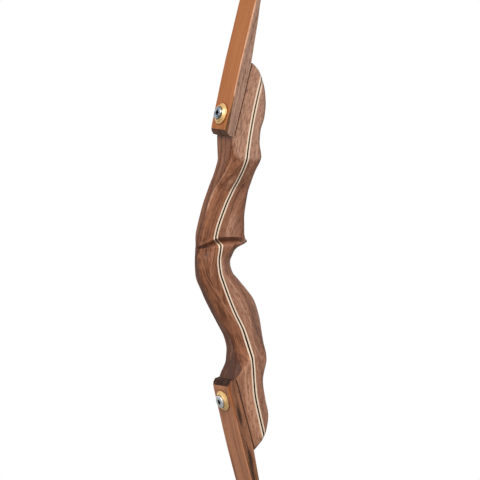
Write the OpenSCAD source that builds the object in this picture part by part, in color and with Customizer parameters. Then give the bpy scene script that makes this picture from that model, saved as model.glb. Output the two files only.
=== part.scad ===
// Takedown recurve bow for a right-handed archer, unstrung. Millimetres and degrees.
// +X points to the archer (the belly side), +Y to the archer's right, +Z up the bow.
// The origin is the throat of the grip, on the plane that splits the bow left from right.

/* [Handle] */
// Height of the wooden handle from tip to tip
handle_length = 534; // [520:1:560]
// Height of the middle of the handle above the throat of the grip
middle_above_throat = 7; // [6:0.5:10]
// Depth of the grip at its throat, from back to belly
grip_depth = 50.2; // [46:0.2:54]
// Width of the grip at its throat
grip_width = 29.6; // [27:0.2:33]
// How far the face of the sight window lies past the centre, to the archer's right
window_past_centre = 2; // [0:0.25:4]
// How far the arrow shelf reaches out to the archer's left of the centre
shelf_reach = 16.8; // [15:0.2:18.6]
// Height of the crown of the arrow shelf above the throat
shelf_height = 33; // [32:0.25:34]
// Height of the sight window, from the crown of the shelf to the full width above
window_height = 110; // [106:1:115]
// Thickness of each pale veneer in the handle
pale_veneer = 2; // [1.4:0.1:2.4]
// Thickness of the dark veneer between them
dark_veneer = 2.4; // [1.8:0.1:3.4]

/* [Limb pads] */
// Tilt of each limb pad away from upright
pad_tilt = 16; // [15:0.25:17]
// Distance of each bolt below its end of the handle, along the handle
bolt_from_end = 73.5; // [72:0.5:75]
// How far the middle of each pad lies towards the archer from the throat
pad_forward = 4.2; // [3.6:0.1:5]
// Length of the pad from the bolt to the shoulder that the limb butts against
pad_below_bolt = 28.2; // [26.4:0.3:29.4]

/* [Limbs] */
// Width of the limbs and of the handle at its pads
limb_width = 44.4; // [42:0.2:46]
// Thickness of a limb over its pad
root_thickness = 14.8; // [14.2:0.1:15.6]
// Length of a limb from its bolt to its string nock, along its back
bolt_to_nock = 592; // [560:1:620]
// Length of the limb tip past the nock
tip_past_nock = 19; // [16:0.5:24]
// Angle through which a limb bends towards the target, from its pad to its tip
recurve_bend = 69; // [58:1:74]
// Width of a limb at its nock
nock_width = 14.4; // [13.6:0.2:17]
// Thickness of the facing on the back of a limb
back_facing = 1.4; // [1:0.1:1.6]
// Thickness of the facing on the belly of a limb
belly_facing = 1.2; // [1:0.1:1.6]
// Thickness of a limb's core over the pad
core_root = 5; // [4.4:0.1:5.6]
// Thickness of a limb's core at the tip
core_tip = 2.6; // [2.2:0.1:3.2]
// Bevel along the edges of a limb's back
edge_bevel = 1; // [0.6:0.1:1.2]
// Size of the bevel across the butt of a limb
butt_bevel = 7.4; // [6:0.2:8]
// Width of the bevel that each corner of the butt carries, tapering away past the bolt
corner_bevel = 4; // [3:0.2:5]
// Thickness of the overlay that backs each limb tip
overlay_thickness = 2.4; // [1.6:0.1:3.2]
// Length of the overlay below the nock
overlay_length = 34; // [28:1:44]
// Width of the string groove at each side of a limb tip
nock_groove = 3.4; // [3:0.1:3.8]
// Depth of the string groove at each side of a limb tip
nock_depth = 2.2; // [1.8:0.1:2.6]

/* [Fittings] */
// Diameter of the limb bolt's shank
bolt_diameter = 7.94; // [7:0.02:9]
// How far the limb bolt reaches below the pad
bolt_reach = 13; // [11:0.5:13.5]
// Diameter of the bolt's head
head_diameter = 18; // [16:0.2:20]
// Height of the bolt's head
head_height = 4.6; // [4:0.1:5.4]
// Size of the hexagon key that fits the bolt's head, across its flats
key_size = 6; // [5:0.5:7]
// Depth of the hexagon socket in the bolt's head
key_depth = 3.8; // [3:0.1:4]
// Diameter of the brass washer under the bolt's head
washer_diameter = 29; // [27.5:0.5:31]
// Height of the brass washer
washer_height = 5; // [4.4:0.1:6]
// Depth of the seat for the bolt's head in the washer
washer_seat = 2.4; // [1.8:0.1:2.6]
// Height of the straight rim of the washer, below its cone
washer_rim = 1.6; // [1.2:0.1:2.2]
// Diameter of the threaded brass insert in the handle
insert_diameter = 12.6; // [12:0.1:14]
// Length of the threaded brass insert
insert_length = 15; // [14:0.5:15.5]
// Diameter of the steel locating pin in each pad
pin_diameter = 6; // [5:0.5:7]
// Distance of the locating pin from the bolt, along the pad
pin_from_bolt = 38; // [34:1:42]
// Length of the locating pin below the pad
pin_depth = 12; // [10:0.5:13]
// Length of the locating pin that stands up into the limb
pin_reach = 6.5; // [5:0.5:8]

/* [Clearances] */
// Gap between a limb and its pad, and between its butt and the shoulder
seat_gap = 0.15; // [0.1:0.01:0.25]
// Gap round the bolt, the bolt's head and the pin
running_gap = 0.35; // [0.3:0.01:0.5]

/* [Hidden] */

WALNUT = [0.50, 0.33, 0.24];
UMBER = [0.22, 0.15, 0.10];
MAPLE = [0.90, 0.80, 0.68];
AMBER = [0.69, 0.44, 0.28];
TAN = [0.62, 0.48, 0.40];
BRASS = [0.86, 0.70, 0.42];
STEEL = [0.68, 0.69, 0.72];

half_handle = handle_length / 2;
stretch = handle_length / 534;
half_limb = limb_width / 2;
half_grip = grip_width / 2;
bolt_rise = half_handle - bolt_from_end;
bolt_radius = bolt_diameter / 2;
window_top = shelf_height + window_height;
limb_length = bolt_to_nock + tip_past_nock;
pad_length = bolt_from_end / cos(pad_tilt);

// A smooth line through [height, value] knots that never swings past a knot.
function mix(a, b, t) = a + (b - a) * t;
function rise(t, i) = (t[i + 1][1] - t[i][1]) / (t[i + 1][0] - t[i][0]);
function knot_slope(t, i) =
    i == 0 ? rise(t, 0) :
    i == len(t) - 1 ? rise(t, i - 1) :
    let (a = rise(t, i - 1), b = rise(t, i)) a * b <= 0 ? 0 : 2 * a * b / (a + b);
function line_at(t, z) =
    z <= t[0][0] ? t[0][1] :
    z >= t[len(t) - 1][0] ? t[len(t) - 1][1] :
    let (i = max([for (k = [0 : len(t) - 2]) if (t[k][0] <= z) k]),
         w = t[i + 1][0] - t[i][0], u = (z - t[i][0]) / w,
         a = knot_slope(t, i) * w, b = knot_slope(t, i + 1) * w)
    t[i][1] * (1 + 2 * u) * (1 - u) * (1 - u) + a * u * (1 - u) * (1 - u)
        + t[i + 1][1] * u * u * (3 - 2 * u) - b * u * u * (1 - u);

// Side view of the handle, as [height above the throat, distance towards the archer].
BACK = [[-262, 17], [-205, 1], [-160, -5.6], [-138, 1], [-122, 2.2], [-107, -1.4], [-85, -14],
    [-63, -27.6], [-41, -39.5], [-15, -grip_depth + 0.5], [0, -grip_depth], [30, -46.2], [44, -41.6], [57, -37.6],
    [80, -30.4], [102, -21.6], [124, -13.2], [146, -7.9], [176, -5], [212, 2], [278, 20]];
BELLY = [[-260, 27], [-255, 32.6], [-245, 41.5], [-233, 47], [-213, 50.2], [-190, 45.7], [-165, 42.1],
    [-129, 49], [-112, 47.6], [-85, 45.8], [-63, 41], [-52, 36.3], [-41, 27.9], [-25, 13.8],
    [-13, 3.5], [0, 0.2], [14, 3.6], [20, 9.4], [25, 21.4], [28.5, 27.6], [31, 28.8], [38, 27.6],
    [58, 27.6], [80, 30.6], [102, 34.4], [124, 36.8], [146, 42], [163, 39.6], [179, 41], [200, 47.7],
    [218, 49.6], [234, 48.5], [250, 44.6], [261, 40.2], [269, 34], [275, 27.2]];
// The veneers' middle line in the side view, carried on past the handle's ends.
VENEER = [[-262, 47], [-217, 35.1], [-180, 27], [-135, 23.5], [-96, 12.9], [-68, -0.5], [-52, -7.4],
    [-26, -17.6], [-14, -21.8], [4, -24], [36, -19.3], [80, -2.5], [97, 6], [112, 11.3], [124, 14.2],
    [156, 18.8], [200, 27.4], [278, 49]];

// Distance of each flank from the centre plane; the sight window is a line of its own.
FLANK = [[-126, half_limb], [-107, half_limb - 2.8], [-85, half_limb - 5.2], [-55, half_grip + 0.6],
    [-25, half_grip], [2, half_grip], [14, mix(half_grip, shelf_reach, 0.5)], [25, shelf_reach]];
WINDOW = [[window_top - 66, -window_past_centre], [window_top - 48, 0.2 - window_past_centre / 2],
    [window_top - 31, 6.6], [window_top - 19, 13.2], [window_top - 7, 19.6], [window_top, half_limb]];
RIGHT = [[-126, half_limb], [-96, half_limb - 2.8], [-63, half_grip + 1.6], [-30, half_grip],
    [0, half_grip + 0.6], [20, half_limb - 4], [40, half_limb - 1.2], [60, half_limb]];
// Reach along the flank, and in from it, of the rounding at the back and at the belly.
BACK_LONG = [[-168, 2], [-147, 12], [-134, 20], [-123, 27], [-95, 20], [-55, 14], [0, 12], [14, 18],
    [27, 22], [38, 6], [100, 6], [124, 14], [141, 20], [148, 12], [160, 6], [172, 2]];
BACK_DEEP = [[-168, 1.5], [-147, 7], [-134, 10], [-123, 11.5], [-55, 9.5], [0, 9], [14, 14], [27, 20],
    [38, 4], [100, 4.5], [124, 7], [141, 9], [148, 6.5], [160, 3.5], [172, 1.5]];
BELLY_LONG = [[-260, 5], [-140, 5], [-129, 12], [-112, 20], [-90, 22], [-55, 22], [0, 20], [14, 16],
    [28, 24], [38, 5], [134, 5], [150, 6], [275, 5]];
BELLY_DEEP = [[-260, 4], [-140, 4], [-129, 6.4], [-112, 9.5], [-90, 11.5], [-55, 12.6], [0, 12.6],
    [14, 9.5], [28, 10.5],
    [38, 3.2], [134, 3.2], [150, 4.4], [275, 4]];

// Everything that one level slice of the handle needs, at height z.
function unstretch(z) = (z - middle_above_throat) / stretch + 7;
function slice(z) = let (h = unstretch(z), d = (line_at(VENEER, h + 1) - line_at(VENEER, h - 1)) / 2,
        lean = sqrt(1 + d * d), inner = dark_veneer / 2 * lean, outer = inner + pale_veneer * lean,
        mid = line_at(VENEER, h), belly = line_at(BELLY, h))
    [[line_at(BACK, h), min(mid - outer, belly), min(mid - inner, belly), min(mid + inner, belly),
      min(mid + outer, belly), belly],
     z < shelf_height ? line_at(FLANK, h) : line_at(WINDOW, z), line_at(RIGHT, h),
     line_at(BACK_LONG, h), line_at(BACK_DEEP, h), line_at(BELLY_LONG, h), line_at(BELLY_DEEP, h)];

// How far a rounded corner draws the flank in, at a distance d from the corner's own face.
function drawn_in(d, long, deep, soft) = d >= long ? 0 :
    let (q = 1 - max(d, 0) / long) deep * mix(q, 1 - sqrt(max(0, 1 - q * q)), soft);
function corner_sum(s, x, most) =
    drawn_in(x - s[0][0], min(s[3], most), min(s[4], most), 0.45)
        + drawn_in(s[0][5] - x, min(s[5], most * 2), min(s[6], most * 1.2), 0.45);
function left_y(s, x) = -s[1] + corner_sum(s, x, 99);
function right_y(s, x) = s[2] - corner_sum(s, x, 10);

// Share of a lamination's depth for a point at t, from 0 to 1, so that the points crowd
// into the rounded corners and one of them lies where the rounding ends.
function share(s, j, t, side) =
    let (depth = s[0][j + 1] - s[0][j], most = side < 0 ? 99 : 10,
         reach = j == 0 ? min(s[3], most) : j == 4 ? min(s[5], most * 2) : depth,
         q = min(0.88, reach / max(depth, 0.01)), last = ROUNDING[len(ROUNDING) - 1])
    j == 0 ? (t > last ? 1 - (1 - t) * min(25 / depth, 3 * (1 - q)) : q * t / last) :
    j == 4 ? (t < 1 - last ? (1 - q) * t / (1 - last) : 1 - q * (1 - t) / last) : t;
ROUNDING = [0, 0.05, 0.16, 0.34, 0.6];
function depth_at(s, j, w) = mix(s[0][j], s[0][j + 1], w);

// A ring of the handle is [height, blend, lift]: blend runs from the shelf's edge at 0
// to the foot of the window at 1, and lift is the height above the shelf's crown there.
// A ring with no blend is a level slice.
function shelf_top(x, y) = shelf_height - 0.0036 * pow(x + 3, 2) - 0.014 * pow(max(0, -26 - x), 2)
    - 0.4 * max(0, window_past_centre - y);
function ring_point(ring, j, t, side) =
    is_undef(ring[1]) ?
        let (s = slice(ring[0]), x = depth_at(s, j, share(s, j, t, side)))
        [x, side < 0 ? left_y(s, x) : right_y(s, x), ring[0]] :
    let (a = slice(shelf_height - 6), b = slice(shelf_height + 5),
         ta = share(a, j, t, side), tb = share(b, j, t, side),
         xa = depth_at(a, j, ta), xb = depth_at(b, j, tb),
         y = side < 0 ? mix(left_y(a, xa), left_y(b, xb), ring[1]) : half_limb,
         z = shelf_top(mix(xa, xb, ring[1]), y) + ring[2], s = slice(z),
         x = depth_at(s, j, mix(ta, tb, ring[1])))
    [x, side < 0 ? y : right_y(s, x), z];

// Height at which veneer face j runs out through the belly, near one end of the handle.
function run_out(j, low, high, n) = n == 0 ? low :
    let (m = (low + high) / 2, s = slice(m))
    s[0][j] < s[0][5] - 0.25 ? run_out(j, m, high, n - 1) : run_out(j, low, m, n - 1);
top_end = middle_above_throat + half_handle;
low_end = middle_above_throat - half_handle;
TOP_OUT = [for (j = [4, 3, 2, 1]) run_out(j, top_end - 50, top_end, 16)];
LOW_OUT = [for (j = [4, 3, 2, 1]) run_out(j, low_end + 50, low_end, 16)];
RINGS = concat(
    [[low_end], [low_end + 2.5], [low_end + 6.5], [LOW_OUT[3]], [LOW_OUT[2]], [LOW_OUT[1]], [LOW_OUT[0]]],
    [for (z = [ceil(LOW_OUT[0]) + 6 : 9 : -185]) [z]],
    [for (z = [-176 : 6.5 : 12]) [z]], [[17.5]],
    [[0, 0, -3.4], [0, 0.03, -1.1], [0, 0.12, -0.1], [0, 0.45, 0.1], [0, 0.85, 0.1], [0, 0.96, 0.9],
     [0, 1, 3.4]],
    [[shelf_height + 12]], [for (z = [shelf_height + 19 : 7.5 : 176]) [z]],
    [for (z = [186 : 9 : TOP_OUT[0] - 4]) [z]],
    [[TOP_OUT[0]], [TOP_OUT[1]], [TOP_OUT[2]], [TOP_OUT[3]], [top_end - 6.5], [top_end - 2.5], [top_end]]);

// One lamination of the handle, from veneer face j to the next.
module lamination(j) {
    shares = j == 0 ? concat(ROUNDING, [0.8, 0.95, 1]) :
        j == 4 ? concat([0], [for (i = [len(ROUNDING) - 1 : -1 : 0]) 1 - ROUNDING[i]]) : [0, 1];
    rings = [for (r = RINGS) if (ring_point(r, j, 1, 1)[0] - ring_point(r, j, 0, 1)[0] > 0.2) r];
    m = len(shares);
    n = 2 * m;
    points = [for (r = rings)
        each concat([for (t = shares) ring_point(r, j, t, -1)],
                    [for (i = [m - 1 : -1 : 0]) ring_point(r, j, shares[i], 1)])];
    last = (len(rings) - 1) * n;
    walls = [for (k = [0 : len(rings) - 2]) for (i = [0 : n - 1])
        let (a = k * n + i, b = k * n + (i + 1) % n, c = b + n, d = a + n)
        each i == n - 1 ? [[a, d, b], [b, d, c]] : [[a, c, b], [a, d, c]]];
    caps = [for (i = [0 : m - 2]) each [[n - 1 - i, i + 1, n - 2 - i], [n - 1 - i, i, i + 1],
        [last + n - 1 - i, last + n - 2 - i, last + i + 1], [last + n - 1 - i, last + i + 1, last + i]]];
    polyhedron(points, concat(walls, caps), convexity = 6);
}

// A limb's own frame: x stands off the pad, z runs up the pad, and the bolt is at the origin.
module upper_pad() {
    translate([pad_forward, 0, middle_above_throat + bolt_rise])
        rotate([0, pad_tilt, 0]) rotate([0, 0, 180]) children();
}
module lower_pad() {
    translate([0, 0, middle_above_throat]) rotate([180, 0, 0])
        translate([0, 0, -middle_above_throat]) upper_pad() children();
}
module along_bolt(from, to, radius) {
    translate([from, 0, 0]) rotate([0, 90, 0]) cylinder(h = to - from, r = radius, $fn = 64);
}

// What is cut from the handle for one limb: the seat, the insert's bore and the pin's bore.
module pad_cuts() {
    translate([0, -60, -pad_below_bolt]) cube([80, 120, 160]);
    along_bolt(-insert_length - 0.6, 5, insert_diameter / 2);
    translate([0, 0, pin_from_bolt]) along_bolt(-pin_depth, 5, pin_diameter / 2);
}

module handle_back() {
    color(WALNUT) difference() {
        lamination(0);
        upper_pad() pad_cuts();
        lower_pad() pad_cuts();
    }
}
module veneer_front() { color(MAPLE) lamination(1); }
module veneer_dark() { color(UMBER) lamination(2); }
module veneer_rear() { color(MAPLE) lamination(3); }
module handle_belly() { color(WALNUT) lamination(4); }

// A threaded brass insert, sunk into the pad for the limb bolt.
module insert() {
    color(BRASS) difference() {
        along_bolt(-insert_length - 0.6, -0.4, insert_diameter / 2);
        along_bolt(-insert_length - 2, 1, bolt_radius + running_gap);
    }
}
module pin() {
    color(STEEL) translate([0, 0, pin_from_bolt]) union() {
        along_bolt(-pin_depth, pin_reach - 0.8, pin_diameter / 2);
        translate([pin_reach - 0.8, 0, 0]) rotate([0, 90, 0])
            cylinder(h = 0.8, r1 = pin_diameter / 2, r2 = pin_diameter / 2 - 0.8, $fn = 64);
    }
}

// Over its pad a limb's back falls away at the butt and swells towards the handle's end.
SWELL = [[-28, -2.4], [-15.5, 0], [16, 0], [40, 0.9], [74, 1.7]];
// A limb's back, as a line whose lean towards the target grows from the pad to the tip.
LEAN = [[0, 0], [0.25, 0], [0.4, 0.06], [0.56, 0.2], [0.71, 0.45], [0.85, 0.75], [0.95, 0.95], [1, 1]];
THICK = [[-27, root_thickness], [74, root_thickness], [87, root_thickness - 1],
    [109, root_thickness - 3], [137, root_thickness - 5.4], [165, root_thickness - 8.4],
    [188, core_root + belly_facing + back_facing - 1.2],
    [250, core_root + belly_facing + back_facing - 1.1], [bolt_to_nock, core_tip + belly_facing + back_facing]];
CORE = [[-26, core_root], [188, core_root - 0.6], [250, core_root - 1.1], [bolt_to_nock, core_tip]];
WIDTH = [[bolt_to_nock * 0.33, half_limb], [bolt_to_nock * 0.5, half_limb - 1.8],
    [bolt_to_nock * 0.68, mix(half_limb, nock_width / 2, 0.45)],
    [bolt_to_nock * 0.85, mix(half_limb, nock_width / 2, 0.83)], [bolt_to_nock, nock_width / 2],
    [limb_length - 5, nock_width / 2 - 0.4], [limb_length - 1.2, nock_width / 2 - 2.2],
    [limb_length, nock_width / 2 - 4.4]];
butt = -pad_below_bolt + seat_gap;
wedge_end = 184;
corner_rise = 30;
STEPS = concat([butt, -21, -15.5, 16, 45, 74, 89, 104, 118, 132, 146, 160, 172, wedge_end, wedge_end + 0.3],
    [for (i = [1 : 21]) mix(wedge_end, bolt_to_nock - overlay_length, i / 21)],
    [for (i = [1 : 3]) bolt_to_nock - overlay_length * (1 - i / 4)],
    [bolt_to_nock, bolt_to_nock + tip_past_nock / 2, limb_length - 5, limb_length - 1.2, limb_length]);
function lean(s) = recurve_bend * line_at(LEAN, s / limb_length);
BACK_LINE = [for (i = 0, s = STEPS[0], x = seat_gap + root_thickness, z = STEPS[0];
    i < len(STEPS);
    x = x + (i + 1 < len(STEPS) ? (STEPS[i + 1] - s) * sin(lean((s + STEPS[i + 1]) / 2)) : 0),
    z = z + (i + 1 < len(STEPS) ? (STEPS[i + 1] - s) * cos(lean((s + STEPS[i + 1]) / 2)) : 0),
    i = i + 1, s = i < len(STEPS) ? STEPS[i] : s) [x + line_at(SWELL, s), z]];

// Depth below the back of each face between a limb's layers, at a length s from the bolt.
function wedge_top(s) = back_facing + line_at(CORE, s);
function wedge_foot(s) = s > wedge_end ? wedge_top(s)
    : max(line_at(THICK, s) + line_at(SWELL, s) - belly_facing, wedge_top(s) + 0.25);
function overlay_rise(s) = overlay_thickness
    * min(1, 0.12 + (s - bolt_to_nock + overlay_length) / 16, 0.6 + (limb_length - s) / 4);
function layer_face(j, s) =
    j == 0 ? -overlay_rise(s) : j == 1 ? 0 : j == 2 ? back_facing :
    j == 3 ? wedge_top(s) : j == 4 ? wedge_foot(s) : wedge_foot(s) + belly_facing;

// One layer of a limb between faces j and k, over the steps from one length to another.
// bevels holds how far the first and the last face are narrower than the limb.
module layer(j, k, from, to, bevels) {
    picks = [for (i = [0 : len(STEPS) - 1]) if (STEPS[i] >= from && STEPS[i] <= to) i];
    thin = max(bevels) > 0;
    n = thin ? 6 : 4;
    points = [for (i = picks)
        let (s = STEPS[i], w = line_at(WIDTH, s), a = lean(s), p = BACK_LINE[i],
             d = layer_face(j, s), e = layer_face(k, s),
             b0 = min(bevels[0], (e - d) * 0.7), b1 = min(bevels[1], (e - d) * 0.7),
             rows = b0 > 0 ? [[d, w - b0], [d + b0, w], [e, w]]
                 : b1 > 0 ? [[d, w], [e - b1, w], [e, w - b1]] : [[d, w], [e, w]])
        each concat([for (r = rows) [p[0] - r[0] * cos(a), -r[1], p[1] + r[0] * sin(a)]],
            [for (q = [len(rows) - 1 : -1 : 0])
                [p[0] - rows[q][0] * cos(a), rows[q][1], p[1] + rows[q][0] * sin(a)]])];
    last = (len(picks) - 1) * n;
    walls = [for (g = [0 : len(picks) - 2]) for (i = [0 : n - 1])
        let (a = g * n + i, b = g * n + (i + 1) % n)
        each [[a, b, b + n], [a, b + n, a + n]]];
    caps = [for (i = [0 : n / 2 - 2]) each [[i, n - 2 - i, i + 1], [i, n - 1 - i, n - 2 - i],
        [last + i, last + i + 1, last + n - 2 - i], [last + i, last + n - 2 - i, last + n - 1 - i]]];
    polyhedron(points, concat(walls, caps), convexity = 6);
}

// What is cut from a limb: the bolt's hole, the pin's hole, the butt's bevel and the nocks.
module limb_cuts() {
    along_bolt(-5, 30, bolt_radius + 2 * running_gap);
    translate([0, 0, pin_from_bolt]) along_bolt(-5, pin_reach + 1, pin_diameter / 2 + running_gap);
    translate([seat_gap + root_thickness, -40, butt]) rotate([0, -45, 0])
        translate([-20, 0, -40]) cube([40, 80, 40 + butt_bevel / sqrt(2)]);
    taper = atan(corner_bevel / sqrt(2) / (corner_rise + pad_below_bolt));
    for (side = [-1, 1])
        translate([seat_gap + root_thickness, side * half_limb, corner_rise])
            rotate([0, 0, side * 45]) rotate([0, taper, 0]) translate([0, -20, -90]) cube([20, 40, 130]);
}
module nock_cuts() {
    i = search(bolt_to_nock, STEPS)[0];
    for (side = [-1, 1])
        translate([BACK_LINE[i][0], side * (nock_width / 2 + nock_groove / 2 - nock_depth), BACK_LINE[i][1]])
            rotate([0, 90 - recurve_bend + 35, 0]) translate([0, 0, -15])
                cylinder(h = 30, r = nock_groove / 2, $fn = 40);
}
module cut_layer() {
    difference() {
        children();
        limb_cuts();
        nock_cuts();
    }
}

module facing_back() { color(AMBER) cut_layer() layer(1, 2, butt, limb_length, [edge_bevel, 0]); }
module core() { color(TAN) cut_layer() layer(2, 3, butt, limb_length, [0, 0]); }
module wedge() { color(TAN) cut_layer() layer(3, 4, butt, wedge_end, [0, 0]); }
module facing_belly() { color(AMBER) cut_layer() layer(4, 5, butt, limb_length, [0, 0]); }
module overlay() {
    color(UMBER) difference() {
        layer(0, 1, bolt_to_nock - overlay_length, limb_length, [0, 0]);
        nock_cuts();
    }
}

// The brass washer, a low cone with a seat for the bolt's head.
module washer() {
    r = washer_diameter / 2;
    seat = head_diameter / 2 + running_gap;
    hole = bolt_radius + running_gap + 0.1;
    top = washer_height;
    color(BRASS) translate([seat_gap + root_thickness, 0, 0]) rotate([0, 90, 0])
        rotate_extrude($fn = 96) polygon([[hole, 0], [r - 0.3, 0], [r, 0.3], [r, washer_rim],
            [seat + 1.3, top], [seat, top], [seat, top - washer_seat], [hole, top - washer_seat]]);
}
// The steel limb bolt, with a domed head and a socket for a hexagon key.
module bolt() {
    r = head_diameter / 2;
    base = seat_gap + root_thickness + washer_height - washer_seat + 0.2;
    color(STEEL) difference() {
        translate([base, 0, 0]) rotate([0, 90, 0])
            rotate_extrude($fn = 96) polygon([[0, -base - bolt_reach], [bolt_radius - 1, -base - bolt_reach],
                [bolt_radius, -base - bolt_reach + 1], [bolt_radius, 0], [r, 0], [r, head_height - 1.2],
                [r - 0.5, head_height - 0.4], [r - 1.5, head_height], [0, head_height]]);
        translate([base + head_height - key_depth, 0, 0]) rotate([0, 90, 0])
            cylinder(h = key_depth + 1, r = key_size / sqrt(3), $fn = 6);
    }
}

module insert_upper() { upper_pad() insert(); }
module insert_lower() { lower_pad() insert(); }
module pin_upper() { upper_pad() pin(); }
module pin_lower() { lower_pad() pin(); }
module facing_back_upper() { upper_pad() facing_back(); }
module core_upper() { upper_pad() core(); }
module wedge_upper() { upper_pad() wedge(); }
module facing_belly_upper() { upper_pad() facing_belly(); }
module overlay_upper() { upper_pad() overlay(); }
module facing_back_lower() { lower_pad() facing_back(); }
module core_lower() { lower_pad() core(); }
module wedge_lower() { lower_pad() wedge(); }
module facing_belly_lower() { lower_pad() facing_belly(); }
module overlay_lower() { lower_pad() overlay(); }
module washer_upper() { upper_pad() washer(); }
module washer_lower() { lower_pad() washer(); }
module bolt_upper() { upper_pad() bolt(); }
module bolt_lower() { lower_pad() bolt(); }

handle_back();
veneer_front();
veneer_dark();
veneer_rear();
handle_belly();
insert_upper();
insert_lower();
pin_upper();
pin_lower();
facing_back_upper();
core_upper();
wedge_upper();
facing_belly_upper();
overlay_upper();
facing_back_lower();
core_lower();
wedge_lower();
facing_belly_lower();
overlay_lower();
washer_upper();
washer_lower();
bolt_upper();
bolt_lower();
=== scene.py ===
# %% [markdown]
# # A takedown recurve bow, dressed piece by piece
# The bow has a wooden handle, glued up from five layers, and two limbs bolted to its ends.
# The CAD model fixes where every piece is. This file gives each piece its finer shape and finish.
# Shapes are worked out in millimetres and turned into metres when a mesh is made.

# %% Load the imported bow
from collections import namedtuple
from functools import partial, reduce
from math import atan, cos, hypot, pi, radians, sin, sqrt

import bmesh
import bpy
import numpy as np
from mathutils import Matrix, Vector


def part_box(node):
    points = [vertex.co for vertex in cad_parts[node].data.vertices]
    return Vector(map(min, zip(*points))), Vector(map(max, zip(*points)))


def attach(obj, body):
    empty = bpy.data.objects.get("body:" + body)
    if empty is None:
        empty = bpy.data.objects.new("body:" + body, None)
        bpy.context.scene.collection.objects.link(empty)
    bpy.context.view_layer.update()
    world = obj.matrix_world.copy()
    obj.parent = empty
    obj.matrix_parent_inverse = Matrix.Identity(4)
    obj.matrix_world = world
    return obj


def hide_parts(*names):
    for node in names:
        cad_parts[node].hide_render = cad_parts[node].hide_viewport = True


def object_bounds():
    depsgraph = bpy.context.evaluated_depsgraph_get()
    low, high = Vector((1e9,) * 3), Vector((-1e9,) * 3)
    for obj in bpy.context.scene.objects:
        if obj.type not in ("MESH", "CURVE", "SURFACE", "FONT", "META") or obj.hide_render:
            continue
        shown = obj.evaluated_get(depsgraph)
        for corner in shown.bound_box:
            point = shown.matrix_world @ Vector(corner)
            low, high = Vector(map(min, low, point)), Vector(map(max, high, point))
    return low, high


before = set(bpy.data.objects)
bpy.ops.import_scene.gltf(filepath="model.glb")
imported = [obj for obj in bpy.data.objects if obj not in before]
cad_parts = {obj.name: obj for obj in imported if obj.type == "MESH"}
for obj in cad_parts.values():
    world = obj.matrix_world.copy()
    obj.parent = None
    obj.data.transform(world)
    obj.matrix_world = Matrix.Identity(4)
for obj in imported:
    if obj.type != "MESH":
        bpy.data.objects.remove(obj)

cad_low, cad_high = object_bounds()
MM = 0.001
print("CAD box in mm:", [round(v / MM, 1) for v in cad_low], [round(v / MM, 1) for v in cad_high])

# %% [markdown]
# ## The camera
# A long, slim object is photographed from far away, so that its lines stay almost parallel.
# An orthographic camera could give that too, but a long lens keeps the slight perspective.
# The camera stands on the archer's left, 30 degrees round towards the target, and leans by
# less than half a degree.

# %% Camera
AWAY, SENSOR, LENS = 14, 36, 764.4

def placed(name, data):
    """A new object, put into the scene."""
    thing = bpy.data.objects.new(name, data)
    bpy.context.scene.collection.objects.link(thing)
    return thing

def camera_axes(azimuth, elevation, roll):
    """The picture's right, its up, and the way from the object back to the camera."""
    a, e, w = (radians(v) for v in (azimuth, elevation, roll))
    back = Vector((sin(a) * cos(e), -cos(a) * cos(e), sin(e)))
    right = Vector((cos(a), sin(a), 0))
    up = back.cross(right)
    return right * cos(w) - up * sin(w), up * cos(w) + right * sin(w), back

right, up, back = camera_axes(-30, 5, 0.4)
aim = right * 0.01515 + up * 0.0302
lens = bpy.data.cameras.new("camera")
lens.sensor_width, lens.lens, lens.clip_end = SENSOR, LENS, 200
camera = placed("camera", lens)
camera.matrix_world = Matrix.Translation(aim + back * AWAY) @ Matrix((right, up, back)).transposed().to_4x4()
bpy.context.scene.camera = camera
print("the frame is", round(SENSOR / LENS * AWAY / MM, 1), "mm wide at the bow")

# %% [markdown]
# ## Floor, backdrop and lamps
# The photograph has a white backdrop and soft light. More light would whiten the backdrop but wash
# out the wood, so the world is white only for rays that look at it. As a light it is grey, and
# brighter from above. The floor is a pale disc that fades out towards its rim, and it keeps the
# bow's shadow. Each node is added with its values and links in one call, so that a tree reads
# like a recipe.

# %% Small helpers for node trees
WHITE, GREY = (1, 1, 1, 1), (0.5, 0.5, 0.5, 1)

def tree_of(owner):
    owner.use_nodes = True
    owner.node_tree.nodes.clear()
    return owner.node_tree

def is_output(value):
    return isinstance(value, bpy.types.NodeSocket)

def add(tree, kind, inputs=(), **settings):
    """A node; each of its inputs, by name or in order, gets a value or a link from another node."""
    node = tree.nodes.new(kind if kind.startswith("Node") else "ShaderNode" + kind)
    for name, value in settings.items():
        setattr(node, name, value)
    for name, value in inputs.items() if isinstance(inputs, dict) else enumerate(inputs):
        if is_output(value):
            tree.links.new(value, node.inputs[name])
        else:
            node.inputs[name].default_value = value
    return node

def tree_with(*values):
    return next(v.id_data for v in values if is_output(v))

def calc(operation, a, b, kind="Math"):
    return add(tree_with(a, b), kind, (a, b), operation=operation).outputs[0]

def mixed(factor, a, b, how="MIX"):
    inputs = {0: factor, 6: a, 7: b}
    return add(tree_with(factor, a, b), "Mix", inputs, data_type="RGBA", blend_type=how).outputs[2]

def span(value, low, high, to_low=0.0, to_high=1.0):
    """Carries low to to_low and high to to_high, with soft ends."""
    limits = value, low, high, to_low, to_high
    return add(value.id_data, "MapRange", limits, interpolation_type="SMOOTHSTEP").outputs[0]

def length_of(vector):
    return add(vector.id_data, "VectorMath", (vector,), operation="LENGTH").outputs["Value"]

def paint(r, g, b):
    """A colour as it is seen on screen, from 0 to 255, as Blender wants it."""
    return tuple((c / 3294.6 if c <= 10.3 else ((c / 255 + 0.055) / 1.055) ** 2.4) for c in (r, g, b)) + (1,)

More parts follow.
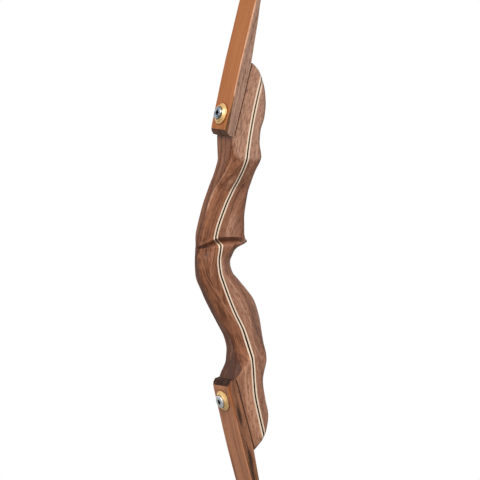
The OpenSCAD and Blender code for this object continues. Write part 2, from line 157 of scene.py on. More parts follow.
# %% World
world = bpy.data.worlds.new("studio")
bpy.context.scene.world = world
bpy.context.scene.view_settings.view_transform = "Standard"
tree = tree_of(world)
rise = add(tree, "SeparateXYZ", (add(tree, "TexCoord").outputs["Generated"],)).outputs["Z"]
level = add(tree, "MapRange", (rise, -0.8, 0.9, 0.2, 0.62)).outputs[0]
light, seen = add(tree, "Background", (WHITE, level)), add(tree, "Background", (WHITE, 1))
ray = add(tree, "LightPath").outputs
looks = calc("MAXIMUM", calc("MAXIMUM", ray["Is Camera Ray"], ray["Is Glossy Ray"]), ray["Is Transmission Ray"])
blend = add(tree, "MixShader", (looks, light.outputs[0], seen.outputs[0]))
add(tree, "OutputWorld", {"Surface": blend.outputs[0]})
print("world:", len(tree.nodes), "nodes")

# %% Lamps
def soft_lamp(name, azimuth, elevation, distance, size, watts):
    data = bpy.data.lights.new(name, "AREA")
    data.shape, data.size, data.energy = "DISK", size, watts
    lamp = placed(name, data)
    _, _, towards = camera_axes(azimuth, elevation, 0)
    lamp.location = towards * distance
    lamp.rotation_euler = towards.to_track_quat("Z", "Y").to_euler()
    print(name, "lamp:", watts, "W")

soft_lamp("key", -38, 40, 2.6, 1.5, 54)
soft_lamp("fill", 50, 25, 2.8, 1.8, 7)

# %% Floor
disc, rings, spokes = 3.0, 12, 64
floor_z = cad_low.z - 0.006

def spot(k, i):
    """The number of the point on ring k and spoke i."""
    return 1 + (k - 1) * spokes + i % spokes

turns = [2 * pi * i / spokes for i in range(spokes)]
points = [(0, 0, floor_z)] + [(disc * k / rings * cos(turn), disc * k / rings * sin(turn), floor_z)
                              for k in range(1, rings + 1) for turn in turns]
faces = [(0, spot(1, i), spot(1, i + 1)) for i in range(spokes)]
faces += [(spot(k, i), spot(k + 1, i), spot(k + 1, i + 1), spot(k, i + 1))
          for k in range(1, rings) for i in range(spokes)]
mesh = bpy.data.meshes.new("floor")
mesh.from_pydata(points, [], faces)
floor = placed("floor", mesh)

pale = bpy.data.materials.new("pale floor")
tree = tree_of(pale)
shown = mixed(add(tree, "LightPath").outputs["Is Camera Ray"], GREY, (0.88, 0.88, 0.88, 1))
coat = add(tree, "BsdfPrincipled", {"Base Color": shown, "Roughness": 0.9})
fade = span(length_of(add(tree, "TexCoord").outputs["Object"]), 1.6, 2.9)
blend = add(tree, "MixShader", (fade, coat.outputs[0], add(tree, "BsdfTransparent").outputs[0]))
add(tree, "OutputMaterial", {"Surface": blend.outputs[0]})
floor.data.materials.append(pale)
print("floor at", round(floor_z, 4), "m")

# %% [markdown]
# ## Figured wood, as one group of nodes
# Wood is a stack of thin layers that the maker's curves cut across, so the figure is a solid
# texture and not a picture wrapped round the outside. Every wooden piece carries an attribute
# called grain: how deep a point lies, how far across, and how far along the wood, in millimetres.
# The group bends the layers a little, lays fibres and streaks along them, and scatters pores and
# flecks. Dip bulges the layers, which draws nested arcs, and tone lightens or darkens a place, both
# for the wood's own tone and for painted shade. Where calm is above 0, as on a flat sanded flank,
# the wood shows its specks and is mixed towards a pale haze, a painted sheen. Where it is below 0,
# only the layers are left. Two knots can be set, each at a point of the grain.

# %% Helpers for groups
def plus(*terms):
    return reduce(partial(calc, "ADD"), terms)

def times(*terms):
    return reduce(partial(calc, "MULTIPLY"), terms)

def around_zero(texture, strength):
    return times(calc("SUBTRACT", texture, 0.5), strength)

def stretched(place, x, y, z):
    return calc("MULTIPLY", place, (x, y, z), "VectorMath")

def noise(place, detail=2.0, roughness=0.5):
    values = {"Vector": place, "Scale": 1, "Detail": detail, "Roughness": roughness}
    return add(place.id_data, "TexNoise", values).outputs["Fac"]

def node_group(name, inputs, outputs):
    """A group of nodes, what it is given and what it gives; None stands for a vector."""
    group = bpy.data.node_groups.new(name, "ShaderNodeTree")
    for direction, sockets in (("INPUT", inputs), ("OUTPUT", outputs)):
        for label, value in sockets.items():
            kind = "Vector" if value is None else "Color" if isinstance(value, tuple) else "Float"
            made = group.interface.new_socket(name=label, in_out=direction, socket_type="NodeSocket" + kind)
            if value is not None:
                made.default_value = value
    return group, add(group, "NodeGroupInput").outputs, add(group, "NodeGroupOutput").inputs

def hand_out(gives, **values):
    for name, value in values.items():
        value.id_data.links.new(value, gives[name])
    print("group:", len(gives[0].id_data.nodes), "nodes")

# %% Wood group
PAINTED_SHEEN = paint(196, 162, 142)
figure, given, gives = node_group("wood figure", {
    "Grain": None, "Dip": 0.0, "Tone": 0.0, "Calm": 0.0, "Seed": 0.0, "Layer": 2.0, "Bend": 6.0, "Layers": 0.6,
    "Fibres": 0.5, "Streaks": 0.5, "Pores": 0.4, "Flecks": 0.0, "Knots": 0.0, "Knot A": None, "Knot B": None,
    "Pale": WHITE, "Middle": WHITE, "Dark": WHITE}, {"Color": WHITE, "Pores": 0.0, "Fibres": 0.0})
shift = add(figure, "VectorMath", {0: (37.1, 71.3, 513.7), "Scale": given["Seed"]}, operation="SCALE")
grain = calc("ADD", given["Grain"], shift.outputs[0], "VectorMath")
split = add(figure, "SeparateXYZ", (grain,)).outputs
calm = given["Calm"]

sway = around_zero(noise(stretched(grain, 0.02, 0.02, 0.005), 0.6), given["Bend"])
bent = plus(times(split["Y"], 0.25), sway, times(split["X"], 0.14), given["Dip"])
layers = add(figure, "TexNoise", {"W": calc("DIVIDE", bent, given["Layer"]), "Scale": 1, "Detail": 2.5},
             noise_dimensions="1D").outputs["Fac"]
fibre = noise(stretched(grain, 0.45, 0.45, 0.018), 3.0, 0.6)
streak = noise(stretched(grain, 0.13, 0.08, 0.0045), 3.0, 0.58)
fleck = span(noise(stretched(grain, 0.4, 0.4, 0.12), 1.0), 0.67, 0.74)
speck = noise(stretched(grain, 0.58, 0.58, 0.14), 3.0, 0.62)
pores = span(speck, 0.49, 0.7)
grit = mixed(span(calm, 0.0, 1.0, 0.1, 1.0), GREY, speck)

tone = around_zero(fibre, times(given["Fibres"], 2.0))
tone = plus(tone, around_zero(streak, times(given["Streaks"], 2.0)))
tone = times(plus(tone, around_zero(grit, -2.0)), span(calm, -1.0, 0.0, 0.3, 1.0))
tone = plus(tone, around_zero(span(layers, 0.3, 0.7), given["Layers"]))
tone = plus(times(tone, span(calm, 0.0, 1.0, 1.0, 0.9)), given["Tone"])
color = mixed(span(tone, 0.0, 0.5), given["Middle"], given["Pale"])
color = mixed(span(tone, -0.5, 0.0, 1.0, 0.0), color, given["Dark"])
# A pale haze on flat flanks: a painted sheen.
color = mixed(span(calm, 0.0, 1.0, 0.0, 0.34), color, PAINTED_SHEEN)

marks = calc("MAXIMUM", times(pores, given["Pores"]), times(fleck, given["Flecks"]))
for knot in ("Knot A", "Knot B"):
    away = calc("SUBTRACT", given["Grain"], given[knot], "VectorMath")
    far = plus(length_of(stretched(away, 0.34, 0.0, 0.07)), around_zero(streak, 3.0))
    marks = calc("MAXIMUM", marks, times(span(far, 0.2, 1.3, 1.0, 0.0), given["Knots"]))
hand_out(gives, Color=mixed(marks, color, given["Dark"]), Pores=pores, Fibres=fibre)

# %% [markdown]
# ## Worn edges, painted highlights and painted shade
# Varnish is thin on an edge, so edges are paler, and the same pale edge paints highlights on the
# crests of the scoops and along the limbs' bevels. Corners, crowns and the back get painted shade.
# Both could be found by the renderer from the shape, but then they depend on how fine a mesh is.
# Here each piece carries three more attributes: rim is the distance to the nearest edge or painted
# crest, shade says how much painted shade a point gets, and seam is the depth below a limb's pad,
# for the dark line where the limb lies on the wood. A painted contact shadow in a ring round the
# washer follows the distance from the bolt, which is in the grain of a limb.

# %% Wear group
wear, given, gives = node_group("worn edges and painted light", {
    "Color": WHITE, "Grain": None, "Rim": 5.0, "Shade": 1.0, "Seam": 50.0, "Ring": -9.0, "Edge": WHITE,
    "Edge Amount": 0.5, "Edge Width": 1.2}, {"Color": WHITE})
place = add(wear, "TexCoord").outputs["Object"]
patchy = span(noise(stretched(place, 90, 90, 90), 3.0), 0.3, 0.6, 0.45, 1.0)
seam = span(given["Seam"], 1.2, 2.0, 0.17, 1.0)
# Pale worn edges; on crests and bevels the same paleness is a painted highlight.
edge = times(span(given["Rim"], 0.0, given["Edge Width"], 1.0, 0.0), patchy, given["Edge Amount"])
worn = mixed(times(edge, seam), given["Color"], given["Edge"])
# Painted contact shadow in a ring round the washer.
from_bolt = length_of(stretched(given["Grain"], 0, 1, 1))
washer_shadow = span(from_bolt, given["Ring"], plus(given["Ring"], 2.6), 0.4, 1.0)
# Painted shade, together with the dark seam and the washer's painted shadow.
depth = times(given["Shade"], seam, washer_shadow)
# Painted shade grows warmer as it deepens.
WARM = (1.0, 1.18, 1.34)
warm_shade = add(wear, "CombineColor", [calc("POWER", depth, power) for power in WARM])
hand_out(gives, Color=mixed(1.0, worn, warm_shade.outputs[0], "MULTIPLY"))

# %% [markdown]
# ## Varnished woods
# The handle is oiled and varnished walnut with a satin gloss, and the limbs are clear-finished
# hardwood. Each material places the two groups with its own colours, and its pores make small
# dents. The milled pads have the same walnut without the dark line of the seam.

# %% Varnish
def use(tree, group, values):
    """Places a group; each of its sockets takes the value that has its name in small letters."""
    node = add(tree, "Group", node_tree=group)
    for socket in node.inputs:
        value = values.get(socket.name.lower().replace(" ", "_"))
        if value is not None:
            socket.default_value = paint(*value) if socket.type == "RGBA" else value
    return node

def own_attributes(group, *names):
    """Links attributes of the mesh to the group's sockets of the same names."""
    for name in names:
        node = add(group.id_data, "Attribute", attribute_name=name)
        output = node.outputs["Vector" if name == "grain" else "Fac"]
        group.id_data.links.new(output, group.inputs[name.capitalize()])

def coated(color, roughness, height, dent, depth, **more):
    """Ends a material in one shader, with small dents."""
    tree = color.id_data
    normal = add(tree, "Bump", {"Strength": dent, "Distance": depth, "Height": height}).outputs[0]
    values = {"Base Color": color, "Roughness": roughness, "Normal": normal, **more}
    add(tree, "OutputMaterial", {"Surface": add(tree, "BsdfPrincipled", values).outputs[0]})

def varnished(name, pale, middle, dark, gloss=0.4, dent=0.25, shine=0.14, seam=True, **more):
    """A wood in three tones; more holds values for the sockets of both groups."""
    material = bpy.data.materials.new(name)
    tree = tree_of(material)
    values = dict(pale=pale, middle=middle, dark=dark, edge=pale) | more
    # The second group adds worn edges with painted highlights, and painted shade.
    wood, rub = use(tree, figure, values), use(tree, wear, values)
    tree.links.new(wood.outputs["Color"], rub.inputs["Color"])
    own_attributes(wood, "grain", "dip", "tone", "calm")
    own_attributes(rub, "grain", "rim", "shade", *["seam"] * seam)
    height = calc("SUBTRACT", times(wood.outputs["Fibres"], 0.5), wood.outputs["Pores"])
    roughness = span(wood.outputs["Pores"], 0.0, 1.0, gloss, gloss + 0.18)
    coated(rub.outputs["Color"], roughness, height, dent, 0.0004, **{"Specular IOR Level": shine})
    return material

# %% Woods of the handle
# The walnut's pale edges also paint the highlights on the crests of the scoops.
WALNUT = dict(pale=(192, 140, 110), middle=(150, 98, 70), dark=(88, 50, 33), layer=2.6, layers=0.32,
              streaks=0.55, pores=0.55, flecks=0.5, edge=(212, 168, 142), edge_amount=0.65)
GREYER = WALNUT | dict(pale=(190, 142, 115), middle=(148, 100, 76), dark=(86, 53, 39))
walnut_back = varnished("walnut, back", seed=1.0, **WALNUT)
walnut_belly = varnished("walnut, belly", seed=2.3, **GREYER)
walnut_pad = varnished("walnut, milled pad", seed=1.6, seam=False, **WALNUT)
maple = varnished("pale maple", (252, 234, 212), (246, 224, 200), (222, 190, 162), seed=3.0, layers=0.3,
                  fibres=0.3, pores=0.15, edge_amount=0.1)
umber = varnished("dark veneer", (130, 96, 74), (46, 26, 13), (24, 13, 6), seed=4.0, layers=0.3,
                  edge_amount=0.1, shine=0.06)
print("materials so far:", len(bpy.data.materials))

# %% Woods of the limbs
# ring is the washer's radius, where its painted contact shadow starts; the pale edges paint highlights along the
# limbs' bevels.
AMBER = dict(layer=1.5, bend=3.0, layers=0.25, pores=0.1, edge_width=0.9, dent=0.12, ring=14.2)
amber_upper = varnished("amber facing, upper", (184, 120, 72), (172, 104, 56), (138, 78, 42), seed=5.0,
                        streaks=0.6, edge=(214, 164, 134), edge_amount=0.9, **AMBER)
amber_lower = varnished("amber facing, lower", (206, 142, 102), (186, 124, 88), (118, 74, 50), seed=6.7,
                        fibres=0.6, edge=(196, 134, 98), edge_amount=0.3, **AMBER)
BEVELLED = dict(fibres=0.6, streaks=0.6, pores=0.1, gloss=0.45)
bevel_upper = varnished("bevelled corner, upper", (140, 94, 56), (116, 76, 44), (84, 54, 30), seed=5.5, **BEVELLED)
bevel_lower = varnished("bevelled corner, lower", (178, 108, 66), (152, 88, 52), (108, 60, 36), seed=5.8, **BEVELLED)
# The pale edge of the upper belly facing paints a highlight along that edge.
TAN = dict(layer=1.2, bend=4.0, layers=0.3, gloss=0.5, edge_width=1.3)
tan_upper = varnished("tan core, upper", (186, 150, 130), (158, 122, 103), (100, 74, 62), seed=7.0,
                      fibres=0.7, pores=0.8, edge=(222, 190, 170), edge_amount=0.9, **TAN)
tan_lower = varnished("tan core, lower", (166, 114, 84), (140, 93, 67), (48, 32, 24), seed=8.4, fibres=0.8,
                      streaks=0.55, edge_amount=0.3, knots=0.85, knot_a=(6.8, 0, 22), knot_b=(8.5, 0, 84), **TAN)
END_GRAIN = dict(layer=1.0, pores=0.7, gloss=0.6, edge_amount=0.25, edge=(130, 92, 72), shine=0.08)
end_upper = varnished("end grain, upper", (140, 98, 76), (104, 72, 56), (54, 36, 30), seed=9.0, **END_GRAIN)
end_lower = varnished("end grain, lower", (88, 56, 42), (60, 37, 28), (30, 18, 15), seed=9.6, **END_GRAIN)
print("materials so far:", len(bpy.data.materials))

# %% [markdown]
# ## Turned metal
# The washers are turned brass and the bolts plated steel. Both keep the fine rings of the lathe,
# which follow the distance from the axis, so lathe pieces carry grain as distance, turn and height.

# %% Metal group
turned, given, gives = node_group("turned metal", {"Grain": None, "Bright": WHITE, "Dull": WHITE, "Tarnish": 0.4},
                                  {"Color": WHITE, "Rings": 0.0, "Smudge": 0.0})
lines = noise(stretched(given["Grain"], 4.5, 0.15, 3.0))
blot = noise(stretched(add(turned, "TexCoord").outputs["Object"], 260, 260, 260), 3.0, 0.6)
dulled = times(span(blot, 0.38, 0.62), given["Tarnish"])
hand_out(gives, Color=mixed(dulled, given["Bright"], given["Dull"]), Rings=lines, Smudge=blot)

# %% Metals
def metal(name, bright, dull, tarnish, rough):
    material = bpy.data.materials.new(name)
    tree = tree_of(material)
    group = use(tree, turned, dict(bright=bright, dull=dull, tarnish=tarnish))
    own_attributes(group, "grain")
    roughness = span(group.outputs["Smudge"], 0.35, 0.7, rough, rough + 0.22)
    coated(group.outputs["Color"], roughness, group.outputs["Rings"], 0.25, 0.0002, Metallic=1)
    return material

brass = metal("turned brass", (236, 198, 138), (194, 146, 90), 0.4, 0.31)
steel = metal("plated steel", (220, 222, 222), (150, 154, 156), 0.4, 0.26)
# The upper bolt is the same steel painted darker, with painted glints from its blots; the socket's facets get
# painted shade.
steel_painted_dark = metal("steel painted dark with painted glints", (176, 186, 196), (58, 66, 72), 1.0, 0.16)
socket_shade = metal("painted shade in a steel socket", (52, 54, 56), (18, 18, 20), 0.8, 0.5)
print("materials in all:", len(bpy.data.materials))

# %% [markdown]
# ## From points to a piece
# Every piece is lofted: rings of points are laid along it and joined by faces. A modelled cube with
# modifiers would be quicker to start, but the curves of a bow are easier to say as numbers. Bores
# and bevels are then carved out with cutters, as they are on the real pieces.

# %% Mesh helpers
def loft(rings, capped=True):
    """Faces between rings of points with the same count; returns (points, faces)."""
    n = len(rings[0])
    points = [p for ring in rings for p in ring]
    faces = [(k * n + i, k * n + (i + 1) % n, (k + 1) * n + (i + 1) % n, (k + 1) * n + i)
             for k in range(len(rings) - 1) for i in range(n)]
    if capped:
        faces += [tuple(range(n - 1, -1, -1)), tuple((len(rings) - 1) * n + i for i in range(n))]
    return points, faces

def new_mesh(name, points, faces):
    mesh = bpy.data.meshes.new(name)
    mesh.from_pydata([tuple(c * MM for c in p) for p in points], [], faces)
    mesh.validate()
    work = bmesh.new()
    work.from_mesh(mesh)
    bmesh.ops.recalc_face_normals(work, faces=work.faces)
    work.to_mesh(mesh)
    work.free()
    mesh.update()
    return mesh

def carve(mesh, *cutters):
    """The mesh less each cutter, by exact Booleans, as a new mesh."""
    body = placed("being carved", mesh)
    tools = []
    for points, faces in cutters:
        tool = placed("cutter", new_mesh("cutter", points, faces))
        tools.append(tool)
        cut = body.modifiers.new("cut", "BOOLEAN")
        cut.object, cut.operation, cut.solver = tool, "DIFFERENCE", "EXACT"
    result = bpy.data.meshes.new_from_object(body.evaluated_get(bpy.context.evaluated_depsgraph_get()))
    for thing in (body, *tools):
        bpy.data.objects.remove(thing)
    return result

# %% Cutters
def moved(*by):
    return Matrix.Translation(by)

def spun(degrees, axis):
    return Matrix.Rotation(radians(degrees), 4, axis)

def on_lathe(axes, height, radius, turn):
    """A point at a height along the axes' own x, a distance from it and a turn round it."""
    return tuple(axes @ Vector((height, radius * cos(turn), radius * sin(turn))))

def box_cutter(axes, low, high):
    corners = [Vector((x, y, z)) for z in (low[2], high[2]) for y in (low[1], high[1]) for x in (low[0], high[0])]
    faces = [(0, 2, 3, 1), (4, 5, 7, 6), (0, 1, 5, 4), (2, 6, 7, 3), (0, 4, 6, 2), (1, 3, 7, 5)]
    return [tuple(axes @ c) for c in corners], faces

def rod_cutter(axes, start, end, radius, sides=48):
    turns = [2 * pi * (i + 0.5) / sides for i in range(sides)]
    return loft([[on_lathe(axes, x, radius, turn) for turn in turns] for x in (start, end)])

# %% Finish a piece
PLAIN = {"rim": 5.0, "shade": 1.0, "tone": 0.0, "calm": 0.0, "dip": 0.0, "seam": 50.0}

def of_points(mesh, what):
    """The places or the normals of a mesh's points, one row each."""
    values = np.empty(len(mesh.vertices) * 3)
    mesh.vertices.foreach_get(what, values)
    return values.reshape(-1, 3)

def finish_piece(name, mesh, materials, node, body, slot, grain, smooth=32, **painted):
    """Smooths, stores the attributes, gives the finish, and hangs the piece on its body."""
    mesh.name = name
    low, high = (np.array(corner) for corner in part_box(node))
    co = of_points(mesh, "co")
    over = float(np.maximum(low - co.min(0), co.max(0) - high).max()) / MM
    mesh.vertices.foreach_set("co", np.clip(co, low, high).ravel())
    co = co / MM
    mesh.polygons.foreach_set("use_smooth", [True] * len(mesh.polygons))
    mesh.set_sharp_from_angle(angle=radians(smooth))
    stored = mesh.attributes.new("grain", "FLOAT_VECTOR", "POINT")
    stored.data.foreach_set("vector", np.asarray(grain(co), float).ravel())
    for key, plain in PLAIN.items():
        values = painted[key](co, mesh) if key in painted else np.full(len(co), plain)
        mesh.attributes.new(key, "FLOAT", "POINT").data.foreach_set("value", np.asarray(values, float))
    for material in materials:
        mesh.materials.append(material)
    piece = placed(name, mesh)
    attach(piece, body)
    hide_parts(node)
    print(f"{name}: {len(mesh.polygons)} faces, {over:+.2f} mm past its CAD box before the trim")
    return piece

def sharp_rim(co, mesh):
    """0 on a sharp edge and the plain distance elsewhere."""
    edge = np.full(len(co), PLAIN["rim"])
    sharp = mesh.attributes.get("sharp_edge")
    if sharp:
        for k, e in enumerate(mesh.edges):
            if sharp.data[k].value:
                edge[list(e.vertices)] = 0
    return edge

# %% [markdown]
# ## The lines of the handle
# A handle like this is sawn to a side view and then shaped by hand. The side view is two smooth
# lines, for the back and the belly, and the veneers follow a third. The flanks have lines of their
# own: the sight window cuts past the middle so that the arrow can pass, and the shelf stands out.
# These lines are the CAD model's, in millimetres, with the throat of the grip as origin. Each
# corner has two more lines, how long its rounding is and how deep. Those of the back's left corner
# are a little fuller at the grip than the model's, and the far side has its own.

# %% Smooth lines
def mix(a, b, t):
    return a + (b - a) * t

def curve(a, b, m, n, u):
    """A place u of the way along a curve that leaves a with slope m and reaches b with slope n."""
    return a * (1 + 2 * u) * (1 - u) ** 2 + m * u * (1 - u) ** 2 + b * u * u * (3 - 2 * u) - n * u * u * (1 - u)

def line_at(table, z):
    """A smooth line through [height, value] knots that never swings past a knot."""
    if z <= table[0][0]:
        return table[0][1]
    if z >= table[-1][0]:
        return table[-1][1]
    i = max(k for k in range(len(table) - 1) if table[k][0] <= z)
    def rise(k):
        return (table[k + 1][1] - table[k][1]) / (table[k + 1][0] - table[k][0])
    def slope(k):
        if k == 0 or k == len(table) - 1:
            return rise(0 if k == 0 else k - 1)
        a, b = rise(k - 1), rise(k)
        return 0 if a * b <= 0 else 2 * a * b / (a + b)
    w = table[i + 1][0] - table[i][0]
    return curve(table[i][1], table[i + 1][1], slope(i) * w, slope(i + 1) * w, (z - table[i][0]) / w)

# %% Side view and flanks
# Half the width at the pads and at the grip, the shelf's reach, and how far the window cuts past the middle.
HALF, GRIP, REACH, PAST = 22.2, 14.8, 16.8, 2
SHELF, WINDOW_TOP, BOTTOM, TOP = 33, 143, -260, 274
BACK = [[-262, 17], [-205, 1], [-160, -5.6], [-138, 1], [-122, 2.2], [-107, -1.4], [-85, -14],
        [-63, -27.6], [-41, -39.5], [-15, -49.7], [0, -50.2], [30, -46.2], [44, -41.6], [57, -37.6],
        [80, -30.4], [102, -21.6], [124, -13.2], [146, -7.9], [176, -5], [212, 2], [278, 20]]
BELLY = [[-260, 27], [-255, 32.6], [-245, 41.5], [-233, 47], [-213, 50.2], [-190, 45.7], [-165, 42.1],
         [-129, 49], [-112, 47.6], [-85, 45.8], [-63, 41], [-52, 36.3], [-41, 27.9], [-25, 13.8],
         [-13, 3.5], [0, 0.2], [14, 3.6], [20, 9.4], [25, 21.4], [28.5, 27.6], [31, 28.8], [38, 27.6],
         [58, 27.6], [80, 30.6], [102, 34.4], [124, 36.8], [146, 42], [163, 39.6], [179, 41], [200, 47.7],
         [218, 49.6], [234, 48.5], [250, 44.6], [261, 40.2], [269, 34], [275, 27.2]]
VENEER = [[-262, 47], [-217, 35.1], [-180, 27], [-135, 23.5], [-96, 12.9], [-68, -0.5], [-52, -7.4],
          [-26, -17.6], [-14, -21.8], [4, -24], [36, -19.3], [80, -2.5], [97, 6], [112, 11.3], [124, 14.2],
          [156, 18.8], [200, 27.4], [278, 49]]
FLANK = [[-126, HALF], [-107, HALF - 2.8], [-85, HALF - 5.2], [-55, GRIP + 0.6], [-25, GRIP], [2, GRIP],
         [14, (GRIP + REACH) / 2], [25, REACH]]
WINDOW = [[WINDOW_TOP - 66, -PAST], [WINDOW_TOP - 48, 0.2 - PAST / 2], [WINDOW_TOP - 31, 6.6],
          [WINDOW_TOP - 19, 13.2], [WINDOW_TOP - 7, 19.6], [WINDOW_TOP, HALF]]
RIGHT = [[-126, HALF], [-96, HALF - 2.8], [-63, GRIP + 1.6], [-30, GRIP], [0, GRIP + 0.6], [20, HALF - 4],
         [40, HALF - 1.2], [60, HALF]]

# %% Corners
BACK_LONG = [[-168, 2], [-147, 12], [-134, 20], [-123, 27], [-95, 20], [-55, 14], [-18, 12.4], [0, 13.6],
             [14, 18], [27, 22], [38, 6], [100, 6], [124, 14], [141, 20], [148, 12], [160, 6], [172, 2]]
BACK_DEEP = [[-168, 1.5], [-147, 7], [-134, 10], [-123, 11.5], [-55, 9.5], [-18, 9.2], [0, 10.6], [14, 14.6],
             [27, 20], [38, 4], [100, 4.5], [124, 7], [141, 9], [148, 6.5], [160, 3.5], [172, 1.5]]
FAR_LONG = [[-168, 2], [-147, 10], [24, 10], [45, 6], [100, 6], [124, 10], [148, 10], [160, 6], [172, 2]]
FAR_DEEP = [[-168, 1.5], [-147, 7], [-134, 10], [-55, 9.5], [0, 9], [14, 10], [24, 10], [45, 4], [100, 4.5],
            [124, 7], [141, 9], [148, 6.5], [160, 3.5], [172, 1.5]]
BELLY_LONG = [[-260, 5], [-140, 5], [-129, 12], [-112, 20], [-90, 22], [-55, 22], [0, 20], [14, 16],
              [28, 24], [38, 5], [134, 5], [150, 6], [275, 5]]
BELLY_DEEP = [[-260, 4], [-140, 4], [-129, 6.4], [-112, 9.5], [-90, 11.5], [-55, 12.6], [0, 12.6],
              [14, 9.5], [28, 10.5], [38, 3.2], [134, 3.2], [150, 4.4], [275, 4]]
print("the handle is", TOP - BOTTOM, "mm tall and", 2 * HALF, "mm wide at its pads")

# %% [markdown]
# ## One slice of the handle
# Each ring of points is a slice: a left flank and a right flank, with corners rounded towards the
# back and the belly. The points crowd into the roundings, where the light changes fastest.

# %% Slices
VENEER_FACES = (-3.2, -1.2, 1.2, 3.2)
Slice = namedtuple("Slice", "x left right corners")
slices = {}

def slice_at(z, window=False):
    """The faces of the layers from back to belly, both flanks, and each flank's corners as (long, deep)."""
    key = (round(z, 4), window or z >= SHELF)
    if key not in slices:
        d = (line_at(VENEER, z + 1) - line_at(VENEER, z - 1)) / 2
        lean = sqrt(1 + d * d)
        mid, belly = line_at(VENEER, z), line_at(BELLY, z)
        faces = [line_at(BACK, z), *(min(mid + k * lean, belly) for k in VENEER_FACES), belly]
        near, front, far = ((line_at(long, z), line_at(deep, z)) for long, deep in (
            (BACK_LONG, BACK_DEEP), (BELLY_LONG, BELLY_DEEP), (FAR_LONG, FAR_DEEP)))
        far_front = min(front[0], 20), min(front[1], 12)
        slices[key] = Slice(faces, line_at(WINDOW if key[1] else FLANK, z), line_at(RIGHT, z),
                            ((near, front), (far, far_front)))
    return slices[key]

def drawn_in(d, long, deep):
    """How far a rounding draws the flank in, at a distance d from the back or the belly."""
    if d >= long:
        return 0
    q = 1 - max(d, 0) / long
    return deep * mix(q, 1 - sqrt(max(0, 1 - q * q)), 0.45)

def flank_y(s, x, side):
    """Distance across, on the left flank for side -1 and on the right one for side 1."""
    back, belly = s.corners[side > 0]
    half = s.right if side > 0 else s.left
    return side * (half - drawn_in(x - s.x[0], *back) - drawn_in(s.x[5] - x, *belly))

# %% Points of a slice
LAST = 0.6

def share(s, j, t, side):
    """The share of a layer's depth for a point at t; the rounding takes t up to LAST."""
    if j not in (0, 4):
        return t
    long = s.corners[side > 0][j == 4][0]
    q = min(0.88, long / max(s.x[j + 1] - s.x[j], 0.01))
    u = 1 - t if j else t
    v = q * u / LAST if u <= LAST else mix(q, 1, (u - LAST) / (1 - LAST))
    return 1 - v if j else v

def depth_at(s, j, w):
    return mix(s.x[j], s.x[j + 1], w)

def level_point(z, j, t, side):
    s = slice_at(z)
    x = depth_at(s, j, share(s, j, t, side))
    return x, flank_y(s, x, side), z

# %% [markdown]
# ## The arrow shelf
# The shelf is a small ledge that the arrow's feathers pass over, crowned along the bow and falling
# away to the left. Level slices can't show it, because it is nearly level itself. So the rings
# bend there: they climb the shelf's edge, cross its top and climb again into the sight window.

# %% Shelf rings
BELOW_SHELF, ABOVE_SHELF, EDGE = 6, 50, 3.4

def shelf_top(x, y):
    return SHELF - 0.0036 * (x + 3) ** 2 - 0.014 * max(0, -26 - x) ** 2 - 0.4 * max(0, PAST - y)

LOW, HIGH = slice_at(SHELF - 6), slice_at(SHELF + 5)
def shelf_point(blend, lift, j, t, side):
    """A point over the shelf, from its edge at blend 0 to the foot of the window at 1."""
    ta, tb = share(LOW, j, t, side), share(HIGH, j, t, side)
    xa, xb = depth_at(LOW, j, ta), depth_at(HIGH, j, tb)
    y = mix(flank_y(LOW, xa, -1), flank_y(HIGH, xb, -1), blend) if side < 0 else HALF
    z = shelf_top(mix(xa, xb, blend), y) + lift
    s = slice_at(z)
    w = mix(ta, tb, blend)
    x = depth_at(s, j, w)
    return (x, y if side < 0 else flank_y(s, x, 1), z), w

def between_point(z0, w, blend, lift, j, t, side):
    """A point w of the way from the level ring at z0 to a ring of the shelf."""
    (_, qy, qz), qw = shelf_point(blend, lift, j, t, side)
    z, v = mix(z0, qz, w), w * w * (3 - 2 * w)
    s = slice_at(z, window=z0 > SHELF)
    x = depth_at(s, j, mix(share(s, j, t, side), qw, v))
    return x, mix(flank_y(s, x, side), qy, v) if side < 0 else flank_y(s, x, 1), z

def smooth_steps(a, b, count):
    return [mix(a, b, k / count) for k in range(count)]

quarter = smooth_steps(0, pi / 2, 8)
profile = [(0.1 * (1 - cos(a)), -EDGE + 3.5 * sin(a)) for a in quarter]
profile += [(b, 0.1) for b in smooth_steps(0.1, 0.85, 7)]
profile += [(1 - 0.15 * (1 - sin(a)), 0.1 + 3.3 * (1 - cos(a))) for a in quarter] + [(1, EDGE)]
print("the shelf's crown is at", round(shelf_top(-3, PAST), 1), "mm")

# %% [markdown]
# ## Lofting the five layers
# Back walnut, pale veneer, dark veneer, pale veneer and belly walnut share the same rings, so they
# meet without a gap. Near each end of the handle the veneers run out through the belly, and a layer
# ends at the ring where it has no thickness left.

# %% Rings
def run_out(j, low, high):
    for _ in range(16):
        m = (low + high) / 2
        low, high = (m, high) if slice_at(m).x[j] < slice_at(m).x[5] - 0.25 else (low, m)
    return low

STEP = 2.5
ends = [run_out(j, end - side, end) for end, side in ((TOP, 50), (BOTTOM, -50)) for j in (1, 2, 3, 4)]
levels = sorted({BOTTOM, TOP, *ends, *(BOTTOM + STEP * k for k in range(1, 107) if BOTTOM + STEP * k < BELOW_SHELF),
                 *(ABOVE_SHELF + STEP * k for k in range(90) if ABOVE_SHELF + STEP * k < TOP)})
rings = [partial(level_point, z) for z in levels if z < BELOW_SHELF]
rings += [partial(between_point, BELOW_SHELF, w, 0, -EDGE) for w in smooth_steps(0, 1, 9)]
rings += [lambda *place, p=p: shelf_point(*p, *place)[0] for p in profile]
rings += [partial(between_point, ABOVE_SHELF, w, 1, EDGE) for w in smooth_steps(1, 0, 7)[1:]]
rings += [partial(level_point, z) for z in levels if z >= ABOVE_SHELF]
print(len(rings), "rings")

